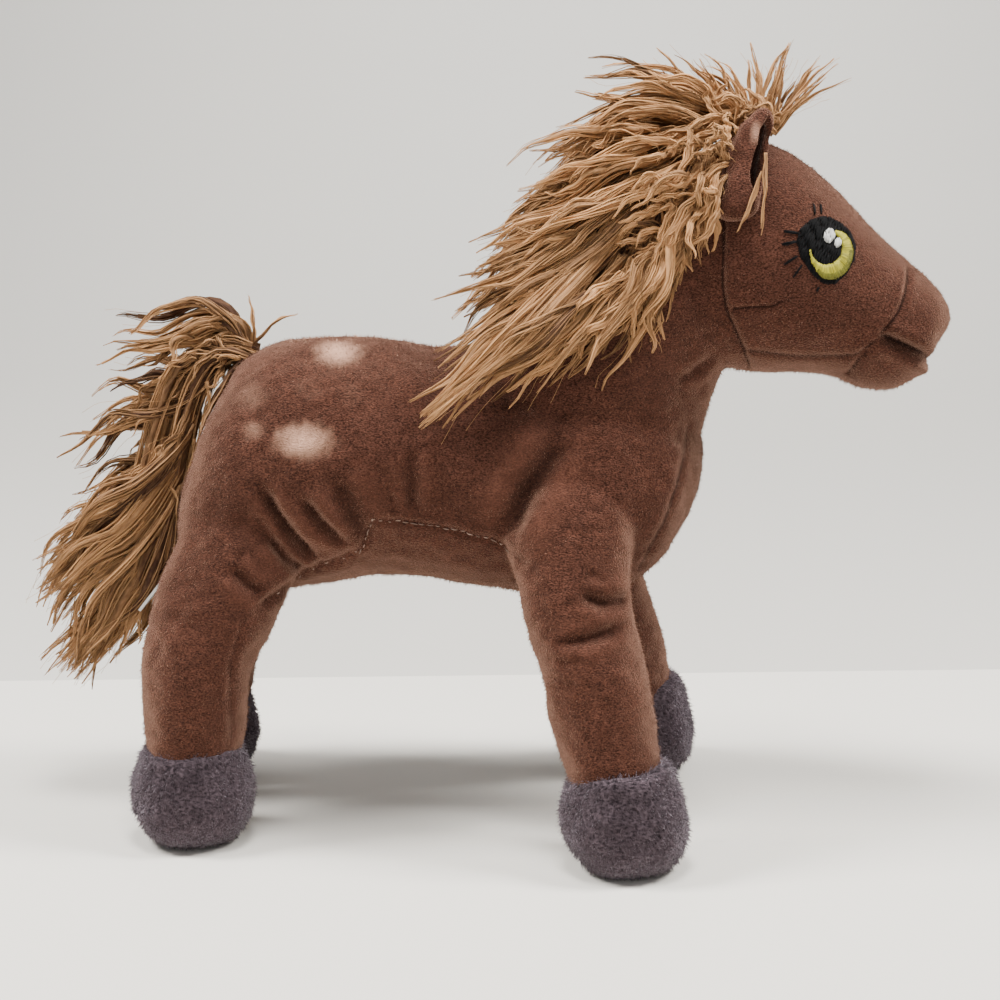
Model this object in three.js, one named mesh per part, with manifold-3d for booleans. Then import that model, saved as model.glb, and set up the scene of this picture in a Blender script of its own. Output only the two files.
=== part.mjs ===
// A plush toy horse, standing on four feet with its head to +X: fabric covers sewn over
// stuffing, plush feet, a yarn mane, forelock and tail, and embroidered eyes.
// Millimetres, +Z up, the right side of the horse at -Y, the floor at z = 0.
import * as THREE from "three";
import Module from "manifold-3d";

const wasm = await Module();
wasm.setup();

// Driving dimensions of the body
const backHeight = 144;
const bodyDepth = 71;
const bodyLength = 155;
const bodyWidth = 70;
const coverThickness = 1.6;
const seamGap = 0.3;

// Neck: from its root inside the shoulders to the seam that joins the head
const neckReach = 43.5;
const neckRise = 54;
const neckDepth = 62;
const neckWidth = 42;

// Head, measured from the neck seam to the nose
const headLength = 64;
const headDepth = 68;
const headWidth = 50;
const mouthGap = 0.8;

// Legs and feet
const legDiameter = 30;
const rearStance = 60;
const frontStance = 88;
const hoofHeight = 33;
const hoofDiameter = 37;
const rearHoofSeamHeight = 30;
const frontHoofSeamHeight = 27;
const leftRearStep = -11;
const leftFrontStep = 4;

// Ears
const earLength = 28;
const earBreadth = 15;
const earCupDepth = 4.5;
const earLiningThickness = 1.1;

// Embroidery
const eyeWidth = 17;
const eyeHeight = 19.5;
const threadThickness = 0.8;
const highlightWidth = 2.8;

// Yarn
const maneLength = 104;
const maneBreadth = 58;
const maneThickness = 18;
const crestYarnHeight = 26;
const crestYarnWidth = 27;
const forelockLength = 19;
const forelockHeight = 20;
const forelockWidth = 24;
const tailLength = 112;
const tailBreadth = 38;
const tailThickness = 25;

// Sewn-in label, left blank
const labelLength = 20;
const labelWidth = 13;
const labelThickness = 0.8;

// How far each soft joint bends, in degrees
const legSwing = 15;
const headNod = 8;
const earFlopOut = 25;
const earFlopIn = 10;
const tailLift = 35;

const coverSides = 20;
const limbSides = 16;
const yarnSides = 12;
const spikeSides = 6;
const padSides = 24;
const sweepSteps = 12;

const radians = THREE.MathUtils.degToRad;

// Solid of an indexed closed surface; a surface that faces inwards is turned round.
function solidFrom(points, faces) {
  let volume = 0;
  for (const [a, b, c] of faces) {
    volume += points[a].clone().cross(points[b]).dot(points[c]);
  }
  const facing = volume < 0 ? faces.map(([a, b, c]) => [a, c, b]) : faces;
  const vertProperties = new Float32Array(points.flatMap((p) => [p.x, p.y, p.z]));
  const triVerts = new Uint32Array(facing.flat());
  return new wasm.Manifold(new wasm.Mesh({ numProp: 3, vertProperties, triVerts }));
}

// One section: an ellipse round at, its long way tilted back from vertical in the side view
// and leaned sideways, with half sizes up and side.
function sectionPoints(section, sides, offset) {
  const tilt = radians(section.tilt ?? 0);
  const lean = radians(section.lean ?? 0);
  const rise = new THREE.Vector3(-Math.sin(tilt), 0, Math.cos(tilt));
  const across = new THREE.Vector3(0, 1, 0);
  const long = rise.clone().multiplyScalar(Math.cos(lean)).addScaledVector(across, Math.sin(lean));
  const short = across.clone().multiplyScalar(Math.cos(lean)).addScaledVector(rise, -Math.sin(lean));
  const up = section.up + offset;
  const side = section.side + offset;
  return Array.from({ length: sides }, (unused, i) => {
    const turn = (2 * Math.PI * i) / sides;
    return section.at
      .clone()
      .addScaledVector(long, up * Math.cos(turn))
      .addScaledVector(short, side * Math.sin(turn));
  });
}

// Stuffed form: sections joined one after another. An offset thickens or thins it all round,
// so the end sections also move along the path.
function loft(sections, sides, offset = 0) {
  const last = sections.length - 1;
  const moved = sections.map((section, i) => {
    if (i !== 0 && i !== last) return section;
    const inner = sections[i === 0 ? 1 : last - 1];
    const outward = section.at.clone().sub(inner.at).normalize();
    return { ...section, at: section.at.clone().addScaledVector(outward, offset) };
  });
  const points = moved.flatMap((section) => sectionPoints(section, sides, offset));
  const faces = [];
  for (let ring = 0; ring < last; ring++) {
    for (let i = 0; i < sides; i++) {
      const a = ring * sides + i;
      const b = ring * sides + ((i + 1) % sides);
      faces.push([a, b, b + sides], [a, b + sides, a + sides]);
    }
  }
  const startCentre = points.push(moved[0].at.clone()) - 1;
  const endCentre = points.push(moved[last].at.clone()) - 1;
  for (let i = 0; i < sides; i++) {
    const next = (i + 1) % sides;
    faces.push([startCentre, next, i]);
    faces.push([endCentre, last * sides + i, last * sides + next]);
  }
  return solidFrom(points, faces);
}

// Solid of a three.js geometry whose faces are flat-shaded and unmerged.
function solidOfGeometry(geometry) {
  const position = geometry.getAttribute("position");
  const points = [];
  const known = new Map();
  const corner = [];
  for (let i = 0; i < position.count; i++) {
    const p = new THREE.Vector3().fromBufferAttribute(position, i);
    const key = p.toArray().map((v) => v.toFixed(4)).join(" ");
    if (!known.has(key)) known.set(key, points.push(p) - 1);
    corner.push(known.get(key));
  }
  const order = geometry.index ? Array.from(geometry.index.array, (i) => corner[i]) : corner;
  const faces = [];
  for (let i = 0; i < order.length; i += 3) {
    const [a, b, c] = order.slice(i, i + 3);
    if (a !== b && b !== c && a !== c) faces.push([a, b, c]);
  }
  return solidFrom(points, faces);
}

// Turns a solid about an axis through a point.
function turned(solid, pivot, axis, degrees) {
  const move = new THREE.Matrix4()
    .makeTranslation(pivot)
    .multiply(new THREE.Matrix4().makeRotationAxis(axis, radians(degrees)))
    .multiply(new THREE.Matrix4().makeTranslation(pivot.clone().negate()));
  return solid.transform(move.elements);
}

// What is left of a moving solid once a still one has been swept through its travel, so that
// the two never meet while the joint bends.
function clearOf(moving, still, joint) {
  let left = moving;
  for (let i = 0; i <= sweepSteps; i++) {
    const degrees = joint.from + ((joint.to - joint.from) * i) / sweepSteps;
    left = left.subtract(turned(still, joint.pivot, joint.axis, -degrees));
  }
  return left;
}

// What is left of a still solid once a moving one has been swept through its travel.
function clearedBy(still, moving, joint) {
  return clearOf(still, moving, { ...joint, from: -joint.to, to: -joint.from });
}

function largestBody(solid) {
  return solid.decompose().reduce((a, b) => (b.volume() > a.volume() ? b : a));
}

const point = (x, y, z) => new THREE.Vector3(x, y, z);
const bodyMiddle = bodyLength / 2;

// Torso, from the rump to the chest
const bellyHeight = backHeight - bodyDepth;
const rumpX = -bodyMiddle - bodyLength * 0.107;
const alongBody = (share) => rumpX + bodyLength * share;
// along the body, middle above the belly, half height, half width
const torsoShares = [
  [0, 0.17, 0.085, 0.143],
  [0.026, 0.225, 0.225, 0.286],
  [0.058, 0.31, 0.338, 0.386],
  [0.11, 0.408, 0.465, 0.457],
  [0.18, 0.458, 0.528, 0.5],
  [0.284, 0.489, 0.517, 0.507],
  [0.4, 0.503, 0.482, 0.471],
  [0.529, 0.472, 0.478, 0.45],
  [0.658, 0.437, 0.507, 0.457],
  [0.774, 0.43, 0.507, 0.471],
  [0.865, 0.423, 0.45, 0.443],
  [0.929, 0.423, 0.324, 0.371],
  [0.974, 0.472, 0.183, 0.243],
  [1, 0.54, 0.06, 0.1],
];
const torsoSections = torsoShares.map(([along, middle, up, side]) => ({
  at: point(alongBody(along), 0, bellyHeight + bodyDepth * middle),
  up: bodyDepth * up,
  side: bodyWidth * side,
}));

// Neck, rising from the shoulders
const neckRootShares = [0.748, 0.563];
const neckRoot = point(
  alongBody(neckRootShares[0]),
  0,
  bellyHeight + bodyDepth * neckRootShares[1],
);
// reach, rise, tilt in degrees, half depth, half width
const neckShares = [
  [0, 0, 49, 0.597, 0.643],
  [0.252, 0.204, 47.7, 0.548, 0.643],
  [0.499, 0.472, 42.6, 0.471, 0.571],
  [0.694, 0.704, 33, 0.423, 0.5],
  [0.828, 0.88, 21.6, 0.442, 0.476],
  [0.943, 0.976, 11, 0.497, 0.488],
  [1.08, 1.005, 4.6, 0.505, 0.488],
];
const neckSections = neckShares.map(([reach, rise, tilt, up, side]) => ({
  at: point(neckRoot.x + neckReach * reach, 0, neckRoot.z + neckRise * rise),
  tilt,
  up: neckDepth * up,
  side: neckWidth * side,
}));
const neckSeam = point(neckRoot.x + neckReach, 0, neckRoot.z + neckRise);

// Head, from behind the neck seam to the nose
// along the head, middle above the seam's middle, half height, half width
const headShares = [
  [-0.117, 0.007, 0.397, 0.32],
  [0, 0.007, 0.463, 0.42],
  [0.102, 0.009, 0.485, 0.48],
  [0.227, -0.006, 0.469, 0.51],
  [0.352, -0.041, 0.431, 0.5],
  [0.477, -0.096, 0.382, 0.46],
  [0.602, -0.174, 0.344, 0.41],
  [0.727, -0.24, 0.293, 0.37],
  [0.82, -0.268, 0.24, 0.35],
  [0.905, -0.276, 0.188, 0.3],
  [0.961, -0.272, 0.125, 0.22],
  [1, -0.257, 0.037, 0.1],
];
const headSections = headShares.map(([along, middle, up, side]) => ({
  at: point(neckSeam.x + headLength * along, 0, neckSeam.z + headDepth * middle),
  up: headDepth * up,
  side: headWidth * side,
}));

const acrossAxis = point(0, 1, 0);
const joints = {
  head: { pivot: neckSeam, axis: acrossAxis, from: -headNod, to: headNod },
};

// Covers and stuffing of the body and neck
const stuffingInset = -(coverThickness + seamGap);
const torsoOuter = loft(torsoSections, coverSides);
const torsoClearance = loft(torsoSections, coverSides, seamGap);
const torsoInner = loft(torsoSections, coverSides, -coverThickness);
const neckOuter = loft(neckSections, coverSides);
const neckInner = loft(neckSections, coverSides, -coverThickness);
const behindNeckSeam = (solid) => solid.trimByPlane([-1, 0, 0], -neckSeam.x);
const torsoCover = torsoOuter.subtract(torsoInner).subtract(neckInner);
const neckCover = largestBody(
  behindNeckSeam(neckOuter.subtract(neckInner).subtract(torsoClearance)),
);
const bodyStuffing = loft(torsoSections, coverSides, stuffingInset).add(
  behindNeckSeam(loft(neckSections, coverSides, stuffingInset)),
);
const neckClearance = loft(neckSections, coverSides, seamGap).trimByPlane(
  [-1, 0, 0],
  -neckSeam.x - seamGap,
);

// Head covers: the cheeks and forehead, the nose, and the chin below the mouth. The seams
// of all three meet at the corner of the mouth.
const mouthCornerShares = [0.745, 0.325];
const noseSeamTilt = 30;
const mouthTilt = 26;
const chinSeamTilt = 39;
const mouthCorner = point(
  neckSeam.x + headLength * mouthCornerShares[0],
  0,
  neckSeam.z - headDepth * mouthCornerShares[1],
);
const halfSeam = seamGap / 2;
const halfMouth = mouthGap / 2;
const headAhead = (solid) => solid.trimByPlane([1, 0, 0], neckSeam.x + seamGap);
const headShell = headAhead(
  loft(headSections, coverSides).subtract(loft(headSections, coverSides, -coverThickness)),
);

// Direction in the side view, in degrees above straight ahead.
function aimed(degrees) {
  return point(Math.cos(radians(degrees)), 0, Math.sin(radians(degrees)));
}

// Keeps the side of a plane that its normal points to, set back by a gap.
function keepAhead(solid, through, normal, gap) {
  return solid.trimByPlane(normal.toArray(), normal.dot(through) + gap);
}

// The part of a solid between two seams that meet at the corner of the mouth.
function faceZone(solid, seamNormal, mouthNormal, seamBack, mouthBack) {
  return keepAhead(
    keepAhead(solid, mouthCorner, seamNormal, seamBack),
    mouthCorner,
    mouthNormal,
    mouthBack,
  );
}
const noseWay = aimed(-noseSeamTilt);
const chinWay = aimed(-chinSeamTilt);
const aboveMouth = aimed(90 - mouthTilt);
const belowMouth = aimed(-90 - mouthTilt);
const noseZone = faceZone(headShell, noseWay, aboveMouth, halfSeam, halfMouth);
const chinZone = faceZone(headShell, chinWay, belowMouth, halfSeam, halfMouth);
const headBlank = loft(headSections, coverSides, seamGap);
const cheeks = headShell
  .subtract(faceZone(headBlank, noseWay, aboveMouth, -halfSeam, -halfMouth))
  .subtract(faceZone(headBlank, chinWay, belowMouth, -halfSeam, -halfMouth));
const clearOfNeck = (solid) => largestBody(clearOf(solid, neckClearance, joints.head));
const headStuffing = clearOfNeck(headAhead(loft(headSections, coverSides, stuffingInset)));
const headClearance = headAhead(headBlank);

// Legs: one table for the rear pair and one for the front pair
// height, drift from the hoof to the root, spread, half depth, half width
const rearLegShares = [
  [0.19, 0.011, 1, 0.45, 0.433],
  [0.3, 0.022, 1, 0.493, 0.483],
  [0.453, 0.044, 0.9, 0.507, 0.5],
  [0.585, 0.239, 0.733, 0.573, 0.533],
  [0.679, 0.444, 0.6, 0.617, 0.567],
  [0.792, 0.667, 0.4, 0.633, 0.567],
  [0.906, 0.889, 0.2, 0.567, 0.5],
  [1, 1, 0, 0.333, 0.3],
];
const frontLegShares = [
  [0.142, 0.184, 0.95, 0.433, 0.433],
  [0.225, 0.3, 0.9, 0.473, 0.477],
  [0.375, 0.463, 0.817, 0.497, 0.493],
  [0.525, 0.711, 0.683, 0.507, 0.5],
  [0.625, 0.879, 0.55, 0.493, 0.5],
  [0.717, 0.947, 0.4, 0.567, 0.5],
  [0.817, 1, 0.267, 0.633, 0.467],
  [0.917, 1, 0.133, 0.567, 0.4],
  [1, 1, 0, 0.333, 0.233],
];
// height up the foot, half width
const hoofShares = [
  [0, 0.26],
  [0.076, 0.37],
  [0.212, 0.46],
  [0.424, 0.5],
  [0.636, 0.475],
  [0.818, 0.42],
  [1, 0.36],
];
const rearLeg = {
  shares: rearLegShares,
  hoofX: alongBody(0.052),
  rootX: alongBody(0.168),
  rootHeight: bellyHeight + bodyDepth * 0.423,
  rootSpread: bodyWidth * 0.215,
  spread: rearStance / 2,
  leftStep: leftRearStep,
  seamHeight: rearHoofSeamHeight,
  seamTilt: 0,
  pivotShare: 0.7,
};
const frontLeg = {
  shares: frontLegShares,
  hoofX: alongBody(0.878),
  rootX: alongBody(0.748),
  rootHeight: bellyHeight + bodyDepth * 0.62,
  rootSpread: bodyWidth * 0.257,
  spread: frontStance / 2,
  leftStep: leftFrontStep,
  seamHeight: frontHoofSeamHeight,
  seamTilt: 12,
  pivotShare: 0.64,
};
const backwardTilt = 90;

// Middle of a leg at a share of its height, on the side that side names: -1 right, 1 left.
function legPoint(leg, side, height, drift, spread) {
  const hoofX = leg.hoofX + (side > 0 ? leg.leftStep : 0);
  return point(
    hoofX + (leg.rootX - hoofX) * drift,
    side * (leg.rootSpread + (leg.spread - leg.rootSpread) * spread),
    leg.rootHeight * height,
  );
}

function legSections(leg, side) {
  return leg.shares.map(([height, drift, spread, depth, width]) => ({
    at: legPoint(leg, side, height, drift, spread),
    tilt: backwardTilt,
    up: legDiameter * depth,
    side: legDiameter * width,
  }));
}

// The foot stands below the leg and leans the way the leg does.
function hoofSections(leg, side) {
  const sole = legPoint(leg, side, 0, 0, 1);
  const ankle = legSections(leg, side)[1].at;
  return hoofShares.map(([height, width]) => {
    const z = hoofHeight * height;
    const at = sole.clone().lerp(ankle, z / ankle.z);
    return { at, tilt: backwardTilt, up: hoofDiameter * width, side: hoofDiameter * width };
  });
}

function buildLeg(leg, side) {
  const sections = legSections(leg, side);
  const foot = hoofSections(leg, side);
  const seam = foot[0].at.clone().lerp(sections[1].at, leg.seamHeight / sections[1].at.z);
  const tilt = radians(leg.seamTilt);
  const upLeg = point(-Math.sin(tilt), 0, Math.cos(tilt));
  const downLeg = upLeg.clone().negate();
  const rest = leg.shares.findIndex(([height]) => height >= leg.pivotShare);
  const above = leg.shares[rest];
  const pivot = legPoint(leg, side, leg.pivotShare, above[1], above[2]);
  const joint = { pivot, axis: acrossAxis, from: -legSwing, to: legSwing };
  const aboveSeam = (solid) => keepAhead(solid, seam, upLeg, halfSeam);
  const belowSeam = (solid) => keepAhead(solid, seam, downLeg, halfSeam);
  const clearOfBody = (solid) => largestBody(clearOf(solid, torsoClearance, joint));
  const legInner = loft(sections, limbSides, -coverThickness);
  const footInner = loft(foot, limbSides, -coverThickness);
  return {
    joint,
    cover: clearOfBody(aboveSeam(loft(sections, limbSides).subtract(legInner))),
    hoof: belowSeam(loft(foot, limbSides)).subtract(footInner),
    stuffing: clearOfBody(
      aboveSeam(loft(sections, limbSides, stuffingInset)).add(
        belowSeam(loft(foot, limbSides, stuffingInset)).add(
          loft(sections, limbSides, stuffingInset).intersect(loft(foot, limbSides, stuffingInset)),
        ),
      ),
    ),
  };
}

// Ear: a leaf cupped forwards and outwards, with a lining inside the cup
// height up the ear, forward drift, half depth, half breadth
const earShares = [
  [-0.16, -0.04, 0.34, 0.34],
  [0, 0, 0.4, 0.38],
  [0.22, 0.02, 0.48, 0.46],
  [0.48, 0.06, 0.47, 0.46],
  [0.74, 0.14, 0.36, 0.35],
  [0.92, 0.24, 0.19, 0.18],
  [1, 0.3, 0.07, 0.07],
];
const earBaseShares = [0.105, 0.34, 0.225];
function buildEar(side) {
  const base = point(
    neckSeam.x + headLength * earBaseShares[0],
    side * headWidth * earBaseShares[1],
    neckSeam.z + headDepth * earBaseShares[2],
  );
  const sections = earShares.map(([height, drift, depth, breadth]) => ({
    at: base.clone().add(point(earBreadth * drift, 0, earLength * height)),
    tilt: backwardTilt,
    up: earBreadth * depth,
    side: earBreadth * breadth,
  }));
  const cupWay = point(0.85, side * 0.53, 0);
  const shifted = (amount) =>
    sections.map((s) => ({ ...s, at: s.at.clone().addScaledVector(cupWay, amount) }));
  const leaf = loft(sections, limbSides);
  const cup = loft(shifted(earCupDepth), limbSides, -seamGap);
  const liningWay = earCupDepth + seamGap;
  const lining = loft(shifted(liningWay), limbSides, -seamGap - seamGap)
    .subtract(loft(shifted(liningWay + earLiningThickness), limbSides, -seamGap))
    .intersect(leaf);
  const joint = { pivot: base, axis: point(side, 0, 0), from: -earFlopOut, to: earFlopIn };
  const aheadOfNeck = (solid) => keepAhead(solid, neckSeam, aimed(-headNod), seamGap);
  const clearOfHead = (solid) => largestBody(clearOf(aheadOfNeck(solid), headClearance, joint));
  const room = loft(sections, limbSides, seamGap);
  const travel = [joint.from, 0, joint.to].map((degrees) =>
    turned(room, joint.pivot, joint.axis, degrees),
  );
  return {
    joint,
    cover: clearOfHead(leaf.subtract(cup)),
    lining: clearOfHead(lining),
    travel: travel[0].add(travel[1]).add(travel[2]),
  };
}

// Eye: flat shapes pushed through layers that follow the head's surface
const eyeShares = [0.422, 0.06];
const eyeTilt = 14;
// in half eye widths from the eye's middle: across, up, half width, half height
const irisShares = [0.2, -0.18, 0.78, 0.9];
const pupilShares = [-0.1, 0.08, 0.7, 0.78];
const largeHighlightShares = [-0.2, 0.42, 1, 1.3];
const smallHighlightShares = [0.22, 0.2, 0.62, 0.75];
function eyeShape(centre, halfWidth, halfHeight, tilt, side) {
  const outline = new THREE.Shape();
  outline.absellipse(centre.x, centre.z, halfWidth, halfHeight, 0, 2 * Math.PI, false, radians(tilt));
  const geometry = new THREE.ExtrudeGeometry(outline, {
    depth: headWidth,
    bevelEnabled: false,
    curveSegments: padSides,
  });
  geometry.rotateX(Math.PI / 2);
  if (side > 0) geometry.translate(0, headWidth, 0);
  return solidOfGeometry(geometry);
}
function buildEye(side) {
  const middle = point(
    neckSeam.x + headLength * eyeShares[0],
    0,
    neckSeam.z + headDepth * eyeShares[1],
  );
  const layer = (from) =>
    loft(headSections, coverSides, from + threadThickness).subtract(
      loft(headSections, coverSides, from),
    );
  const ground = layer(seamGap);
  const overlay = layer(threadThickness + seamGap + seamGap);
  const placed = ([across, up, halfWidth, halfHeight], unit) => {
    const at = middle.clone().add(point((eyeWidth / 2) * across, 0, (eyeWidth / 2) * up));
    return eyeShape(at, unit * halfWidth, unit * halfHeight, eyeTilt, side);
  };
  const surround = eyeShape(middle, eyeWidth / 2, eyeHeight / 2, eyeTilt, side);
  const iris = placed(irisShares, eyeWidth / 2).subtract(placed(pupilShares, eyeWidth / 2));
  const largeHighlight = placed(largeHighlightShares, highlightWidth / 2);
  const smallHighlight = placed(smallHighlightShares, highlightWidth / 2);
  return {
    surround: largestBody(ground.intersect(surround)),
    iris: largestBody(overlay.intersect(iris.intersect(surround))),
    largeHighlight: overlay.intersect(largeHighlight),
    smallHighlight: overlay.intersect(smallHighlight),
  };
}

// Mane: a ridge of yarn along the crest, and the fall down the right side of the neck
const crestAt = neckSections.map((s) => {
  const tilt = radians(s.tilt);
  return s.at.clone().add(point(-Math.sin(tilt), 0, Math.cos(tilt)).multiplyScalar(s.up));
});
// along the crest from the poll, lift above it, half height, half width
const crestYarnShares = [
  [0, 0.3, 0.3, 0.36],
  [0.07, 0.38, 0.44, 0.48],
  [0.2, 0.42, 0.52, 0.52],
  [0.4, 0.38, 0.54, 0.52],
  [0.6, 0.32, 0.52, 0.5],
  [0.8, 0.22, 0.42, 0.44],
  [1, 0.06, 0.2, 0.24],
];
const crestCurve = new THREE.CatmullRomCurve3([...crestAt].reverse());
const crestSections = crestYarnShares.map(([along, lift, up, side]) => {
  const at = crestCurve.getPointAt(along);
  const way = crestCurve.getTangentAt(along);
  const tilt = Math.atan2(way.z, way.x) + Math.PI;
  const away = point(-Math.sin(tilt), 0, Math.cos(tilt));
  return {
    at: at.addScaledVector(away, crestYarnHeight * lift),
    tilt: THREE.MathUtils.radToDeg(tilt),
    up: crestYarnHeight * up,
    side: crestYarnWidth * side,
  };
});
// back from the poll, down from the poll, out from the neck's middle, half breadth, half thickness
const fallShares = [
  [0.05, 0.04, 0.2, 0.2, 0.36],
  [0.15, 0.13, 0.26, 0.36, 0.5],
  [0.29, 0.27, 0.3, 0.48, 0.54],
  [0.44, 0.41, 0.34, 0.54, 0.54],
  [0.6, 0.52, 0.46, 0.41, 0.5],
  [0.73, 0.62, 0.62, 0.23, 0.38],
  [0.82, 0.71, 0.72, 0.07, 0.16],
];
const fallTilt = 43;
const fallLean = 36;
const fallSections = fallShares.map(([back, down, out, up, side]) => ({
  at: manePoint(back, down, out),
  tilt: fallTilt,
  lean: fallLean,
  up: maneBreadth * up,
  side: maneThickness * side,
}));
// a lock that stands out of the bulk of the yarn, from its foot to its pointed tip
const lockTaper = [0.5, 0.42, 0.08];
function lockSolid(foot, tip, breadth, thickness, offset = 0) {
  const way = tip.clone().sub(foot);
  const sections = lockTaper.map((half, i) => ({
    at: foot.clone().addScaledVector(way, i / (lockTaper.length - 1)),
    tilt: THREE.MathUtils.radToDeg(Math.atan2(-way.z, -way.x)),
    up: breadth * half,
    side: thickness * half,
  }));
  return loft(sections, spikeSides, offset);
}
// lock foot and tip, each back and down from the poll and out from the neck's middle
const maneLockShares = [
  [0.34, 0.12, 0.2, 0.58, 0.16, 0.2],
  [0.4, 0.28, 0.34, 0.71, 0.34, 0.4],
];
const maneLockBreadth = 15;
const maneLockThickness = 9;
function manePoint(back, down, out) {
  return point(
    neckSeam.x - maneLength * back,
    -neckWidth * out,
    neckSeam.z + neckDepth * 0.5 - maneLength * down,
  );
}
function maneSolid(offset) {
  let solid = loft(crestSections, yarnSides, offset).add(loft(fallSections, yarnSides, offset));
  for (const [footBack, footDown, footOut, tipBack, tipDown, tipOut] of maneLockShares) {
    const foot = manePoint(footBack, footDown, footOut);
    const tip = manePoint(tipBack, tipDown, tipOut);
    solid = solid.add(lockSolid(foot, tip, maneLockBreadth, maneLockThickness, offset));
  }
  return solid;
}
const neckOutside = loft(neckSections, coverSides, seamGap);
const ears = { right: buildEar(-1), left: buildEar(1) };
const headAndEars = headClearance.add(ears.right.travel).add(ears.left.travel);
const mane = largestBody(
  clearedBy(
    maneSolid(0).subtract(torsoClearance).subtract(neckOutside),
    headAndEars,
    joints.head,
  ),
);
const maneClearance = maneSolid(seamGap);

// Forelock: a tuft over the poll with a few standing spikes
// along the tuft from its back end, lift, half height, half width
const forelockShares = [
  [0, 0.1, 0.3, 0.3],
  [0.15, 0.1, 0.5, 0.45],
  [0.4, 0.05, 0.55, 0.5],
  [0.7, -0.05, 0.4, 0.42],
  [0.92, -0.12, 0.22, 0.25],
  [1, -0.15, 0.08, 0.1],
];
const forelockStart = point(
  neckSeam.x - forelockLength * 0.1,
  0,
  neckSeam.z + headDepth * 0.53,
);
const forelockSections = forelockShares.map(([along, lift, up, side]) => ({
  at: forelockStart.clone().add(point(forelockLength * along, 0, forelockHeight * lift)),
  up: forelockHeight * up,
  side: forelockWidth * side,
}));
// where a spike starts along the tuft, and how far its tip stands ahead, aside and up
const spikeShares = [
  [0.2, -0.3, 0.16, 1],
  [0.4, 0.2, -0.2, 1.02],
  [0.5, 0.86, 0.16, 0.94],
  [0.6, 1.3, -0.16, 0.96],
];
const spikeWidth = 5;
function spikeSolid([along, ahead, aside, rise]) {
  const foot = forelockStart.clone().add(point(forelockLength * along, 0, 0));
  const reach = point(forelockLength * ahead, forelockWidth * aside, forelockHeight * rise);
  const way = Math.atan2(reach.x, reach.z);
  const sections = lockTaper.map((half, i) => ({
    at: foot.clone().addScaledVector(reach, i / (lockTaper.length - 1)),
    tilt: backwardTilt + THREE.MathUtils.radToDeg(way),
    up: spikeWidth * half,
    side: spikeWidth * half,
  }));
  return loft(sections, spikeSides);
}
let forelock = loft(forelockSections, yarnSides);
for (const spike of spikeShares) forelock = forelock.add(spikeSolid(spike));
forelock = clearOf(forelock.subtract(headClearance), maneClearance, joints.head);
forelock = clearOf(forelock, neckOutside, joints.head);
forelock = forelock.subtract(ears.right.travel).subtract(ears.left.travel);
forelock = largestBody(forelock);

// Tail: yarn arching from the rump and falling behind the legs
// back from its root, up from its root, half breadth, half thickness
const tailShares = [
  [-0.01, -0.02, 0.16, 0.24],
  [0.045, 0.05, 0.22, 0.32],
  [0.125, 0.075, 0.28, 0.4],
  [0.2, 0, 0.37, 0.46],
  [0.235, -0.12, 0.33, 0.46],
  [0.26, -0.26, 0.3, 0.46],
  [0.32, -0.4, 0.42, 0.48],
  [0.385, -0.53, 0.49, 0.5],
  [0.42, -0.66, 0.43, 0.46],
  [0.455, -0.77, 0.28, 0.34],
  [0.485, -0.87, 0.07, 0.1],
];
const tailRoot = point(alongBody(0.135), 0, bellyHeight + bodyDepth * 0.9);
const tailPath = tailShares.map(([back, up]) =>
  point(tailRoot.x - tailLength * back, 0, tailRoot.z + tailLength * up),
);
const tailSections = tailShares.map(([, , up, side], i) => {
  const way = tailPath[Math.min(i + 1, tailPath.length - 1)]
    .clone()
    .sub(tailPath[Math.max(i - 1, 0)]);
  return {
    at: tailPath[i],
    tilt: THREE.MathUtils.radToDeg(Math.atan2(-way.z, -way.x)),
    up: tailBreadth * up,
    side: tailThickness * side,
  };
});
// tuft foot and tip, each back and up from the tail's root
const tuftShares = [
  [0.1, 0.03, 0.37, 0.02],
  [0.19, -0.1, 0.5, -0.27],
];
const tuftBreadth = 17;
const tuftThickness = 15;
const tufts = tuftShares.map(([footBack, footUp, tipBack, tipUp]) => {
  const foot = tailRoot.clone().add(point(-tailLength * footBack, 0, tailLength * footUp));
  const tip = tailRoot.clone().add(point(-tailLength * tipBack, 0, tailLength * tipUp));
  return lockSolid(foot, tip, tuftBreadth, tuftThickness);
});
const tailYarn = tufts.reduce((bulk, tuft) => bulk.add(tuft), loft(tailSections, yarnSides));
const tailJoint = {
  pivot: tailRoot,
  axis: acrossAxis,
  from: 0,
  to: tailLift,
};

// Label: a short loop of tape in the seam below the tail
const labelAngle = 52;
const labelRoot = point(rumpX + coverThickness, -labelWidth, bellyHeight + bodyDepth * 0.09);
function labelSolid(extra) {
  const box = new THREE.BoxGeometry(
    labelLength + extra,
    labelWidth + extra,
    labelThickness + extra,
  );
  box.translate(-labelLength / 2, labelWidth / 2, 0);
  box.rotateY(-radians(labelAngle));
  box.translate(labelRoot.x, labelRoot.y, labelRoot.z);
  return solidOfGeometry(box);
}
const label = largestBody(labelSolid(0).subtract(torsoClearance));

const legs = {
  right_rear: buildLeg(rearLeg, -1),
  left_rear: buildLeg(rearLeg, 1),
  right_front: buildLeg(frontLeg, -1),
  left_front: buildLeg(frontLeg, 1),
};
let tail = clearOf(tailYarn, torsoClearance, tailJoint);
tail = clearOf(tail, labelSolid(seamGap + seamGap), tailJoint);
tail = largestBody(tail);

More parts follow.
